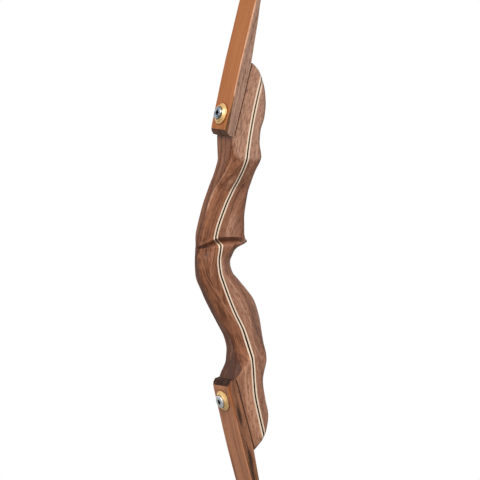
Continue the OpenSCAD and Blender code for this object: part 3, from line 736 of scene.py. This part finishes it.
# %% Layers
ROUND = [0, 0.012, 0.035, 0.07, 0.12, 0.18, 0.25, 0.33, 0.42, 0.51, LAST]
FLAT = [0.68, 0.76, 0.84, 0.92, 1]
SHARES = {0: ROUND + FLAT, 4: [1 - v for v in reversed(ROUND + FLAT)]}
ACROSS = [0.04, 0.14, 0.32, 0.5, 0.68, 0.86, 0.96]

def across(p, q):
    return [tuple(mix(a, b, w) for a, b in zip(p, q)) for w in ACROSS]

def handle_layer(j):
    shares = SHARES.get(j, [0, 1])
    loops = []
    for ring in rings:
        left, right = [ring(j, t, -1) for t in shares], [ring(j, t, 1) for t in shares]
        if right[-1][0] - right[0][0] > 0.2:
            belly = across(left[-1], right[-1]) if j == 4 else []
            back = across(right[0], left[0]) if j == 0 else []
            loops.append((left + belly + right[::-1] + back)[::-1])
    return loft(loops)

first = [shelf_point(0, -EDGE, 0, t, -1)[0][2] for t in SHARES[0]]
print("the shelf's lowest point is at", round(min(first), 1), "mm")

# %% [markdown]
# ## Pads and bores
# A limb sits on a flat pad at each end of the handle, against a small shoulder. The real pads are
# milled after gluing up, so here too they are cut from the finished loft, with a bore for the brass
# insert and one for the locating pin. Each pad has axes of its own: x stands off the pad, z runs
# up it, and the bolt is at the origin. Turned round the handle's middle, the upper pad is the lower.

# %% Pads and their cutters
# The pads' tilt, the height of the handle's middle, and how far up a pad its shoulder and its pin are.
TILT, MIDDLE, SHOULDER, PIN = 16, 7, -28.2, 38
INSERT, INSERT_DEEP, PIN_HALF, PIN_DEEP = 6.3, 15.6, 3, 12
upper_pad = moved(4.2, 0, 200.5) @ spun(TILT, "Y") @ spun(180, "Z")
flip = moved(0, 0, MIDDLE) @ spun(180, "X") @ moved(0, 0, -MIDDLE)
PADS = {"upper": upper_pad, "lower": flip @ upper_pad}
at_pin = moved(0, 0, PIN)
pad_cutters = []
for pad in PADS.values():
    pad_cutters += [box_cutter(pad, (0, -60, SHOULDER), (80, 60, 132)), rod_cutter(pad, -INSERT_DEEP, 5, INSERT),
                    rod_cutter(pad @ at_pin, -PIN_DEEP, 5, PIN_HALF)]

def into(pad, co):
    """Points of the handle's frame, in a pad's own axes."""
    m = np.array(pad.inverted())
    return co @ m[:3, :3].T + m[:3, 3]

def faces_in(pad, piece):
    """Each face of a piece, with its centre and its normal in a pad's own axes."""
    turn = pad.to_3x3().inverted()
    for face in piece.data.polygons:
        yield face, into(pad, np.array([face.center]) / MM)[0], turn @ face.normal

print("cutters for the pads:", len(pad_cutters))

# %% [markdown]
# ## Painted shade, painted highlights and wear on the handle
# The bow shows more than lamps can give in a simple studio, so some of its light and shade is
# painted: a painted shadow in the corner over the shelf, soft dark lines along the scooped flanks,
# pale crests where a scoop ends as painted highlights, and painted shade on the back and on the
# crowns' edges. The slices know where each of these lies, so each point's distance to them is measured.

# %% Grain and shade of the handle
# The flank beside the back is scooped from one height up; each crown starts at the other.
SCOOPED, CROWN = 58, 238

def clamp(v):
    return np.minimum(np.maximum(v, 0), 1)

def along(table, heights):
    return np.array([line_at(table, z) for z in heights])

def handle_grain(co):
    x, y, z = co.T
    return np.stack([x - along(VENEER, z), y, z], 1)

def shelf_painted_shadow(co, normal):
    """Where the shelf is, and how dark its corner's painted shadow is; towards the target it ends in a clear upper
    edge.
    """
    x, y, z = co.T
    top = np.array([shelf_top(*place) for place in co[:, :2]])
    foot = (y < 6) & (np.abs(z - top) < 2.6) & (normal[:, 2] > 0.3)
    above = z - 38.6 - 0.355 * x
    shadow_amount = clamp((y + 14) / 8) * np.clip((26 - x) / 12, 0.25, 1)
    return foot, shadow_amount * np.where(x < -18, np.clip(1 - (above - 1.2) / 1.4, 0.22, 1), 1)

def handle_shade(co, mesh):
    """Darker on end grain and where the upper scoop ends; painted shade on the back, beside the crests, on the
    crowns' edge, at the far corner and in the shelf's corner.
    """
    normal = of_points(mesh, "normal")
    dark = 1 - 0.2 * clamp(np.abs(normal[:, 2]) * 1.4 - 0.3)
    # Painted shade on surfaces that face the back.
    dark = dark - 0.16 * clamp(-normal[:, 0] * 1.6 - 0.4)
    for k, (x, y, z) in enumerate(co):
        s = slice_at(z)
        (long, deep), (far_long, far_deep) = s.corners[0][0], s.corners[1][0]
        # Darker along the line where the upper scoop ends.
        if 96 < z < 142 and y < 0:
            dark[k] *= 1 - 0.3 * max(1 - abs(x - s.x[0] - long) / 1.6, 0)
        # Painted shade in a band on the back beside the crest.
        if z > SCOOPED and x < s.x[0] + 0.35 * long:
            past = y + s.left - 0.62 * deep
            dark[k] *= 1 - 0.36 * min(max(past / 1.2, 0), max(1 - (past - 1.2) / 6, 0), 1)
        # Painted shade on the crowns' edges towards the belly.
        if abs(z) > CROWN:
            dark[k] *= 1 - 0.4 * clamp((x - s.x[5] + 2.6) / 1.4)
        # Painted shade on the far corner.
        if x < s.x[0] + 0.5 * far_long:
            dark[k] *= 1 - 0.25 * clamp((y - s.right + far_deep) / 1.5)
    # Painted shadow in the corner of the shelf.
    foot, shadow_amount = shelf_painted_shadow(co, normal)
    return np.where(foot, mix(1.0, 0.19, shadow_amount), dark)

# %% Crests and seams
def rim_and_painted_crests(co, mesh):
    """Besides the sharp edges, painted highlights on the soft crests where a scooped corner meets a flank."""
    crest_highlight = []
    for x, y, z in co:
        s = slice_at(z)
        (back_long, back_deep), (belly_long, belly_deep) = s.corners[int(y >= 0)]
        lines = [5]
        if z > SCOOPED and y < 8:
            off = abs(x - s.x[0] - 0.2 * back_long)
            lines.append(0.8 * off - 0.3 + 0.12 * max(z - 140, 0) + 0.08 * max(76 - z, 0))
        elif back_deep > 4.5:
            lines.append(abs(x - s.x[0] - back_long))
        if belly_deep > 5:
            lines.append(abs(s.x[5] - belly_long - x))
        crest_highlight.append(0.35 + min(lines) if not 14 < z < 46 else 5)
    return np.minimum(sharp_rim(co, mesh), np.array(crest_highlight))

def handle_seam(co, mesh):
    """How far a point lies below the face of a pad."""
    below = np.full(len(co), PLAIN["seam"])
    for pad in PADS.values():
        x, _, z = into(pad, co).T
        below = np.where((z > -28.1) & (z < 90) & (x > -20), np.clip(-x, 0, PLAIN["seam"]), below)
    return below

# %% [markdown]
# ## Where the walnut changes
# One board of walnut is never even. The carved hollows of this handle get painted shade, so they
# look darker than its flat flanks, and some patches are lighter or darker, partly the wood's own
# tone and partly painted shade. On the grip the layers are cut nearly flat, so they show as nested
# arcs. A picture of the wood would be stuck to one side, so the changes are ovals in the side view
# instead, and they go through the whole layer.

# %% Patches, haze and arcs
# Oval patches: heart (x, z), half length, half width, then the change of tone, in the back and belly layers; some
# are the wood's own tone and some painted shade, such as the dark one on the lower scoop.
TONE_AND_SHADE_PATCHES = {0: [(-22, 78, 40, 14, 0.03), (-2, 110, 18, 9, 0.15), (-32, -45, 70, 26, -0.1),
               (-38, 6, 34, 16, -0.02), (-34, -56, 26, 11, 0.06), (0, -118, 30, 20, -0.1),
               (-5, -148, 30, 15, -0.36), (-52, -4, 24, 6, -0.1)],
           4: [(24, 78, 40, 12, -0.12), (28, 122, 16, 12, 0.13), (6, 44, 24, 10, 0.2), (34, -88, 40, 16, -0.15)]}
# Ovals where the belly layer gets the pale haze of a painted sheen, with the height that each starts from, and the
# arcs' height and half sizes.
SHEEN_OVALS = ((8, 46, 26, 14, 34), (36, -78, 42, 13, -200))
ARCS_Z, ARCS_LONG, ARCS_WIDE = 22, 92, 15

def from_heart(co, x, z, long, wide):
    """0 at the heart of an oval and 1 on its rim."""
    return ((co[:, 0] - x) / wide) ** 2 + ((co[:, 2] - z) / long) ** 2

def carved_share(co, belly):
    """From 0 on a flat flank to 1 where the wood is carved away, and the same for the corner alone."""
    both = []
    for x, y, z in co:
        s = slice_at(z)
        carved = clamp((HALF - abs(y) - 0.2) / 2.5)
        near = s.x[5] - x if belly else x - s.x[0]
        corner = min(drawn_in(near, *s.corners[0][belly]) / 2, 1)
        if belly and z < 24:
            carved = mix(min(carved, max(0.1, corner)), carved, clamp((z + 2) / 12))
        both.append((carved, corner * carved))
    return np.array(both)

def in_arcs(co):
    """From 1 at the heart of the grip's nested arcs to 0 outside and on the right flank."""
    middle = (along(BACK, co[:, 2]) + along(VENEER, co[:, 2])) / 2
    inside = clamp(1 - from_heart(co, middle, ARCS_Z, ARCS_LONG, ARCS_WIDE))
    return inside * clamp((34 - co[:, 2]) / 8) * (co[:, 1] < 4)

# %% Attributes of the layers
def walnut_dip(co, mesh):
    return 12 * in_arcs(co) ** 2

def walnut_calm(j):
    def calm(co, mesh):
        z = co[:, 2]
        flat = (1 - carved_share(co, j == 4)[:, 0]) * np.clip(0.4 + (z + 16) / 16, 0.4, 1.0)
        if j == 0:
            return flat - 0.85 * clamp(2 * in_arcs(co)) * clamp((-2 - z) / 16)
        # Painted sheen in ovals on the belly layer.
        sheen = sum(0.35 * clamp(1.4 - from_heart(co, *oval)) * (z > lowest) for *oval, lowest in SHEEN_OVALS)
        return np.maximum(flat, sheen)
    return calm

def walnut_tone_and_shade(j):
    def tone(co, mesh):
        carved, corner = carved_share(co, j == 4).T
        # Painted shade: the carved places and their corners are darker.
        value = 0.1 - 0.18 * carved - 0.06 * corner
        for *oval, change in TONE_AND_SHADE_PATCHES[j]:
            value = value + change * clamp(1.3 - from_heart(co, *oval)) * clamp(carved * 2)
        return value
    return tone

def veneer_tone(co, mesh):
    """The dark veneer is paler beside the upper pad."""
    return -0.2 + 0.62 * clamp((co[:, 2] - 128) / 30)

PAINTED = {0: dict(tone=walnut_tone_and_shade(0), calm=walnut_calm(0), dip=walnut_dip), 2: dict(tone=veneer_tone),
           4: dict(tone=walnut_tone_and_shade(4), calm=walnut_calm(4))}

# %% Handle pieces
for j, (name, look, slot, node) in enumerate((
        ("walnut_back", walnut_back, "walnut", "handle_back"),
        ("veneer_front_strip", maple, "pale_veneer", "veneer_front"),
        ("veneer_dark_strip", umber, "dark_veneer", "veneer_dark"),
        ("veneer_rear_strip", maple, "pale_veneer", "veneer_rear"),
        ("walnut_belly", walnut_belly, "walnut", "handle_belly"))):
    mesh = new_mesh(name, *handle_layer(j))
    if j == 0:
        mesh = carve(mesh, *pad_cutters)
    piece = finish_piece(name, mesh, [look, walnut_pad], node, "handle", slot, handle_grain, rim=rim_and_painted_crests,
                         shade=handle_shade, seam=handle_seam, **PAINTED.get(j, {}))
    for pad in PADS.values() if j == 0 else ():
        for face, (off, _, up_pad), normal in faces_in(pad, piece):
            if abs(off) < 0.2 and up_pad > SHOULDER and normal.x > 0.9:
                face.material_index = 1

# %% [markdown]
# ## The line of a limb
# Over its pad a limb is straight, and past it the back curves towards the target, more and more
# towards the tip. The lean at each length gives the line, and thickness and width taper along it.

# %% Limb line
# Lengths from the bolt, then the thickness over the pad, the gap below it, and the bend at the tip.
NOCK, TIP, ROOT, GAP, BEND = 592, 611, 14.8, 0.15, 69
FACE = GAP + ROOT
BUTT, WEDGE_END, TIP_HALF, OVERLAY = -28.05, 184, 7.2, 34
BACK_FACING, BELLY_FACING, EDGE_BEVEL = 1.4, 1.2, 1.0
SWELL = [[-28, -2.4], [-15.5, 0], [16, 0], [40, 0.9], [74, 1.7]]
LEAN = [[0, 0], [0.25, 0], [0.4, 0.06], [0.56, 0.2], [0.71, 0.45], [0.85, 0.75], [0.95, 0.95], [1, 1]]
THICK = [[-27, ROOT], [74, ROOT], [87, ROOT - 1], [109, ROOT - 3], [137, ROOT - 5.4], [165, ROOT - 8.4],
         [188, 6.4], [250, 6.5], [NOCK, 5.2]]
CORE = [[-26, 5], [188, 4.4], [250, 3.9], [NOCK, 2.6]]
WIDTH = [[NOCK * 0.33, HALF], [NOCK * 0.5, HALF - 1.8], [NOCK * 0.68, mix(HALF, TIP_HALF, 0.45)],
         [NOCK * 0.85, mix(HALF, TIP_HALF, 0.83)], [NOCK, TIP_HALF], [TIP - 5, 6.8], [TIP - 1.2, 5], [TIP, 2.8]]
STEPS = [BUTT, -21, -15.5, 16, 45, 74, 89, 104, 118, 132, 146, 160, 172, WEDGE_END, WEDGE_END + 0.3]
STEPS += [mix(WEDGE_END, NOCK - OVERLAY, i / 21) for i in range(1, 22)]
STEPS += [NOCK - OVERLAY * (1 - i / 4) for i in (1, 2, 3)] + [NOCK, NOCK + 9.5, TIP - 5, TIP - 1.2, TIP]

def lean(s):
    return radians(BEND * line_at(LEAN, s / TIP))

knots = [(FACE, BUTT)]
for a, b in zip(STEPS, STEPS[1:]):
    tilt = lean((a + b) / 2)
    knots.append((knots[-1][0] + (b - a) * sin(tilt), knots[-1][1] + (b - a) * cos(tilt)))

def back_line(s):
    """The back of a limb at a length s from its bolt: (x, z), through the CAD model's own stations."""
    i = max(0, min(len(STEPS) - 2, sum(v <= s for v in STEPS) - 1))
    h = STEPS[i + 1] - STEPS[i]
    u = (s - STEPS[i]) / h
    tilts = lean(STEPS[i]), lean(STEPS[i + 1])
    def through(k, f):
        return curve(knots[i][k], knots[i + 1][k], f(tilts[0]) * h, f(tilts[1]) * h, u)
    return through(0, sin) + line_at(SWELL, s), through(1, cos)

print("limb tip in its own frame:", [round(v, 1) for v in back_line(TIP)])

# %% [markdown]
# ## The layers of a limb
# A limb is a thin core between two facings, with a wedge that stiffens its root and an overlay
# that backs its tip. Each layer is one loft with its own rows of points, and the back facing has
# the small bevel that shows as a light line along the limb, with a painted highlight on its edge.

# %% Limb layers
stations = sorted({*STEPS, *(BUTT + 6 * k for k in range(1, 200) if BUTT + 6 * k < TIP - 6), TIP - 7.5,
                   *(TIP - 5 * (1 - k / 8) ** 1.5 for k in range(1, 8))})
SPANS = {"facing_back": (BUTT, TIP), "core": (BUTT, TIP), "wedge": (BUTT, WEDGE_END), "facing_belly": (BUTT, TIP),
         "overlay": (NOCK - OVERLAY, TIP)}

def wedge_top(s):
    return BACK_FACING + line_at(CORE, s)

def wedge_foot(s):
    if s > WEDGE_END:
        return wedge_top(s)
    return max(line_at(THICK, s) + line_at(SWELL, s) - BELLY_FACING, wedge_top(s) + 0.25)

def layer_rows(kind, s, w):
    """Half of a layer's section, as (depth below the back, distance across), at half width w."""
    if kind == "facing_back":
        return [(0, 0), (0, w - EDGE_BEVEL), (EDGE_BEVEL, w), (BACK_FACING, w), (BACK_FACING, 0)]
    if kind == "core":
        return [(BACK_FACING, 0), (BACK_FACING, w), (wedge_top(s), w), (wedge_top(s), 0)]
    if kind == "wedge":
        return [(wedge_top(s), 0), (wedge_top(s), w), (wedge_foot(s), w), (wedge_foot(s), 0)]
    if kind == "facing_belly":
        f = wedge_foot(s)
        return [(f, 0), (f, w), (f + 0.7, w), (f + BELLY_FACING, w - 0.5), (f + BELLY_FACING, 0)]
    r = 2.4 * min(1, 0.12 + (s - NOCK + OVERLAY) / 16, 0.6 + (TIP - s) / 4)
    soft = min(0.8, r * 0.6)
    return [(-r, 0), (-r, w - soft), (-r + soft, w), (0, w), (0, 0)]

def limb_layer(kind, pad):
    loops = []
    for s in stations:
        if SPANS[kind][0] <= s <= SPANS[kind][1]:
            x, z = back_line(s)
            a, rows = lean(s), layer_rows(kind, s, line_at(WIDTH, s))
            left = [(x - d * cos(a), -y, z + d * sin(a)) for d, y in rows]
            other = [(px, -py, pz) for px, py, pz in left[-2:0:-1]]
            loops.append([tuple(pad @ Vector(p)) for p in left + other])
    return loft(loops)

print("stations along a limb:", len(stations))

# %% [markdown]
# ## Bores, bevels and string grooves
# The butt of a limb is bevelled all round, so that it slips against the shoulder, and it has a hole
# for the bolt and one for the pin. Two round grooves at the nock hold the string's loop.

# %% Limb cutters
BUTT_BEVEL, CORNER_BEVEL, BEVEL_END, BOLT_HOLE, PIN_HOLE = 7.4, 4, 30, 4.67, 3.35
GROOVE, GROOVE_DEEP, GROOVE_LEAN = 1.7, 2.2, 35

def limb_cutters(kind, pad):
    cuts = []
    butt = pad @ moved(FACE, 0, BUTT) @ spun(-45, "Y")
    if kind != "overlay":
        cuts += [rod_cutter(pad, -5, 30, BOLT_HOLE),
                 box_cutter(butt, (-20, -40, -40), (20, 40, BUTT_BEVEL / sqrt(2)))]
        taper = atan(CORNER_BEVEL / sqrt(2) / (BEVEL_END - SHOULDER))
        for side in (-1, 1):
            edge = pad @ moved(FACE, side * HALF, BEVEL_END) @ spun(side * 45, "Z") @ Matrix.Rotation(taper, 4, "Y")
            cuts.append(box_cutter(edge, (0, -20, -90), (20, 20, 40)))
        if kind not in ("core", "facing_back"):
            cuts.append(rod_cutter(pad @ at_pin, -5, 7.5, PIN_HOLE))
    if kind != "wedge":
        x, z = knots[STEPS.index(NOCK)]
        x += line_at(SWELL, NOCK)
        for side in (-1, 1):
            groove = pad @ moved(x, side * (TIP_HALF + GROOVE - GROOVE_DEEP), z) @ spun(90 - BEND + GROOVE_LEAN, "Y")
            cuts.append(rod_cutter(groove @ spun(-90, "Y"), -15, 15, GROOVE, 32))
    return cuts

# %% Limb coordinates
line_s = np.array(stations)
line_p = np.array([back_line(s) for s in stations])
line_a = np.array([lean(s) for s in stations])

def limb_coordinates(pad, co):
    """Depth below the back, distance across and length from the bolt, of each point of a limb."""
    p = into(pad, co)
    q = p[:, [0, 2]]
    near = np.argmin(((q[:, None] - line_p[None]) ** 2).sum(2), 1)
    d, a = q - line_p[near], line_a[near]
    further = d[:, 0] * np.sin(a) + d[:, 1] * np.cos(a)
    return np.stack([-(d[:, 0] * np.cos(a) - d[:, 1] * np.sin(a)), p[:, 1], line_s[near] + further], 1)

def limb_rim(kind, pad):
    """Distances to the edges along the back or along the belly, for worn edges and painted highlights; core and
    wedge have no edge.
    """
    def rim(co, mesh):
        g = limb_coordinates(pad, co)
        if kind == "facing_belly":
            return np.clip([wedge_foot(s) + BELLY_FACING - d for d, _, s in g], 0, PLAIN["rim"])
        return np.clip(along(WIDTH, g[:, 2]) - EDGE_BEVEL - np.abs(g[:, 1]), 0, 50)
    return {} if kind in ("core", "wedge") else {"rim": rim}

# %% Limb pieces
# What the facings, the core and the wedge, the end grain and the bevelled corners are made of.
LOOKS = {"upper": (amber_upper, tan_upper, end_upper, bevel_upper),
         "lower": (amber_lower, tan_lower, end_lower, bevel_lower)}
SLOTS = {"facing_back": "limb_face", "facing_belly": "limb_face", "core": "limb_core", "wedge": "limb_core",
         "overlay": "dark_veneer"}

for end, pad in PADS.items():
    facing, core, end_grain, bevel = LOOKS[end]
    for kind in SPANS:
        look = umber if kind == "overlay" else core if kind in ("core", "wedge") else facing
        mesh = carve(new_mesh(kind, *limb_layer(kind, pad)), *limb_cutters(kind, pad))
        piece = finish_piece(f"{kind}_{end}_wood", mesh, [look, end_grain, bevel, core], f"{kind}_{end}",
                             f"limb_{end}", SLOTS[kind], lambda co, pad=pad: limb_coordinates(pad, co),
                             **limb_rim(kind, pad))
        for face, centre, normal in faces_in(pad, piece):
            if centre[2] < -16 and normal.z < -0.6:
                face.material_index = 1
            elif centre[2] < 28 and normal.x > 0.5 and abs(normal.y) > 0.5 and centre[0] > 1.5:
                face.material_index = 2
            elif kind == "facing_belly" and abs(normal.y) > 0.6:
                face.material_index = 3

# %% [markdown]
# ## Turning the metal parts
# Washers, bolts, inserts and pins are all turned on a lathe, so one helper spins a profile round
# the bolt's axis. The shank of the bolt carries a real thread: the radius follows a zigzag that
# climbs one pitch with each turn. A thread in a picture would not show in an exported mesh.

# %% Lathe
Thread = namedtuple("Thread", "start end pitch deep")

def turned_piece(pad, profile, sides=96, hole=False, thread=None):
    """Spins (radius, height) pairs round the pad's x axis; height grows away from the pad."""
    rings = []
    for r, h in profile:
        ring = []
        for i in range(sides):
            turn, radius = 2 * pi * i / sides, r
            if thread and thread.start <= h <= thread.end:
                u = (h / thread.pitch + turn / (2 * pi)) % 1
                radius = r - thread.deep * (1 - abs(2 * u - 1))
            ring.append(on_lathe(pad, h, radius, turn))
        rings.append(ring)
    return loft(rings + rings[:1], capped=False) if hole else loft(rings)

def lathe_grain(pad):
    def grain(co):
        p = into(pad, co)
        return np.stack([np.hypot(p[:, 1], p[:, 2]), np.arctan2(p[:, 2], p[:, 1]), p[:, 0]], 1)
    return grain

def arc(cx, cy, r, start, end, count=5):
    turns = [radians(mix(start, end, k / count)) for k in range(count + 1)]
    return [(cx + r * cos(turn), cy + r * sin(turn)) for turn in turns]

def lathe_piece(kind, end, axes, body, looks, profile, socket=None, smooth=32, **how):
    """Turns a piece, carves its socket if it has one, and hangs it on its body."""
    slot = "brass" if looks[0] is brass else "steel"
    mesh = new_mesh(kind, *turned_piece(axes, profile[::-1], **how))
    if socket:
        mesh = carve(mesh, loft(socket))
    return finish_piece(f"{kind}_{end}_{slot}", mesh, looks, f"{kind}_{end}", body, slot, lathe_grain(axes), smooth)

# %% Washers
WASHER, SEAT_DEEP, SEAT, BORE = 5.0, 2.4, 9.35, 4.42

def washer(end, pad):
    top = FACE + WASHER
    rim = [(BORE, FACE), (14.2, FACE), (14.5, FACE + 0.3), (14.5, FACE + 1.4)]
    cone = [(14.35, FACE + 1.62), (13.6, FACE + 2.0), (12.2, FACE + 3.1), (10.95, FACE + 4.7)]
    cone += arc(10.6, FACE + 4.7, 0.3, 20, 90, 3)
    well = [(SEAT + 0.3, top), (SEAT, top - 0.3), (SEAT, top - SEAT_DEEP), (BORE, top - SEAT_DEEP)]
    lathe_piece("washer", end, pad, f"limb_{end}", [brass], rim + cone + well, smooth=28, hole=True)

# %% Bolts
HEAD, PITCH = 4.6, 1.411

def bolt(end, pad):
    """A flat round head with a hexagon socket; the facets of the socket get painted shade."""
    base = FACE + WASHER - SEAT_DEEP + 0.2
    shank = [(0.02, -13), (2.9, -13), (3.9, -12)]
    shank += [(3.97, -11.8 + 0.16 * k) for k in range(1 + int((base + 11.6) / 0.16))]
    head = [(3.97, base), (8.8, base), (9.0, base + 0.2), (9.0, base + 3.4)] + arc(8.0, base + 3.5, 1.0, 0, 80, 5)
    head += [(6.6, base + HEAD), (4.2, base + HEAD), (0.02, base + HEAD)]
    thread = Thread(-11.7, base - 1.5, PITCH, 0.75)
    hexagon = [[on_lathe(pad, h, r, radians(60 * k)) for k in range(6)]
               for h, r in ((base + 0.8, 3.42), (base + 4.1, 3.46), (base + 4.7, 4.0))]
    # The upper bolt is the same steel painted darker, with painted glints.
    piece = lathe_piece("bolt", end, pad, f"bolt_{end}", [steel_painted_dark if end == "upper" else steel, socket_shade],
                        shank + head, hexagon, smooth=30, sides=64, thread=thread)
    # Painted shade on the socket's facets.
    for facet, (height, *off), _ in faces_in(pad, piece):
        if base + 0.5 < height < base + 4.55 and hypot(*off) < 3.9:
            facet.material_index = 1

# %% Inserts and pins
def insert(end, pad):
    outer = [(5.9, -INSERT_DEEP), (INSERT, -15.2)] + [(INSERT, -15.2 + 0.2 * k) for k in range(1, 73)]
    outer += [(INSERT, -0.8), (5.9, -0.4)]
    bore = [(4.9, -0.4), (4.35, -0.9), (4.32, -15.0), (4.8, -INSERT_DEEP)]
    lathe_piece("insert", end, pad, "handle", [brass], outer + bore, sides=64, hole=True)

def pin(end, pad):
    rod = [(0.02, -PIN_DEEP), (2.6, -PIN_DEEP), (PIN_HALF, -11.6), (PIN_HALF, 5.7)]
    rod += arc(2.4, 5.9, 0.6, 0, 80, 4) + [(1.2, 6.5), (0.02, 6.5)]
    lathe_piece("pin", end, pad @ at_pin, "handle", [steel], rod, sides=48)

for end, pad in PADS.items():
    for make in (washer, bolt, insert, pin):
        make(end, pad)
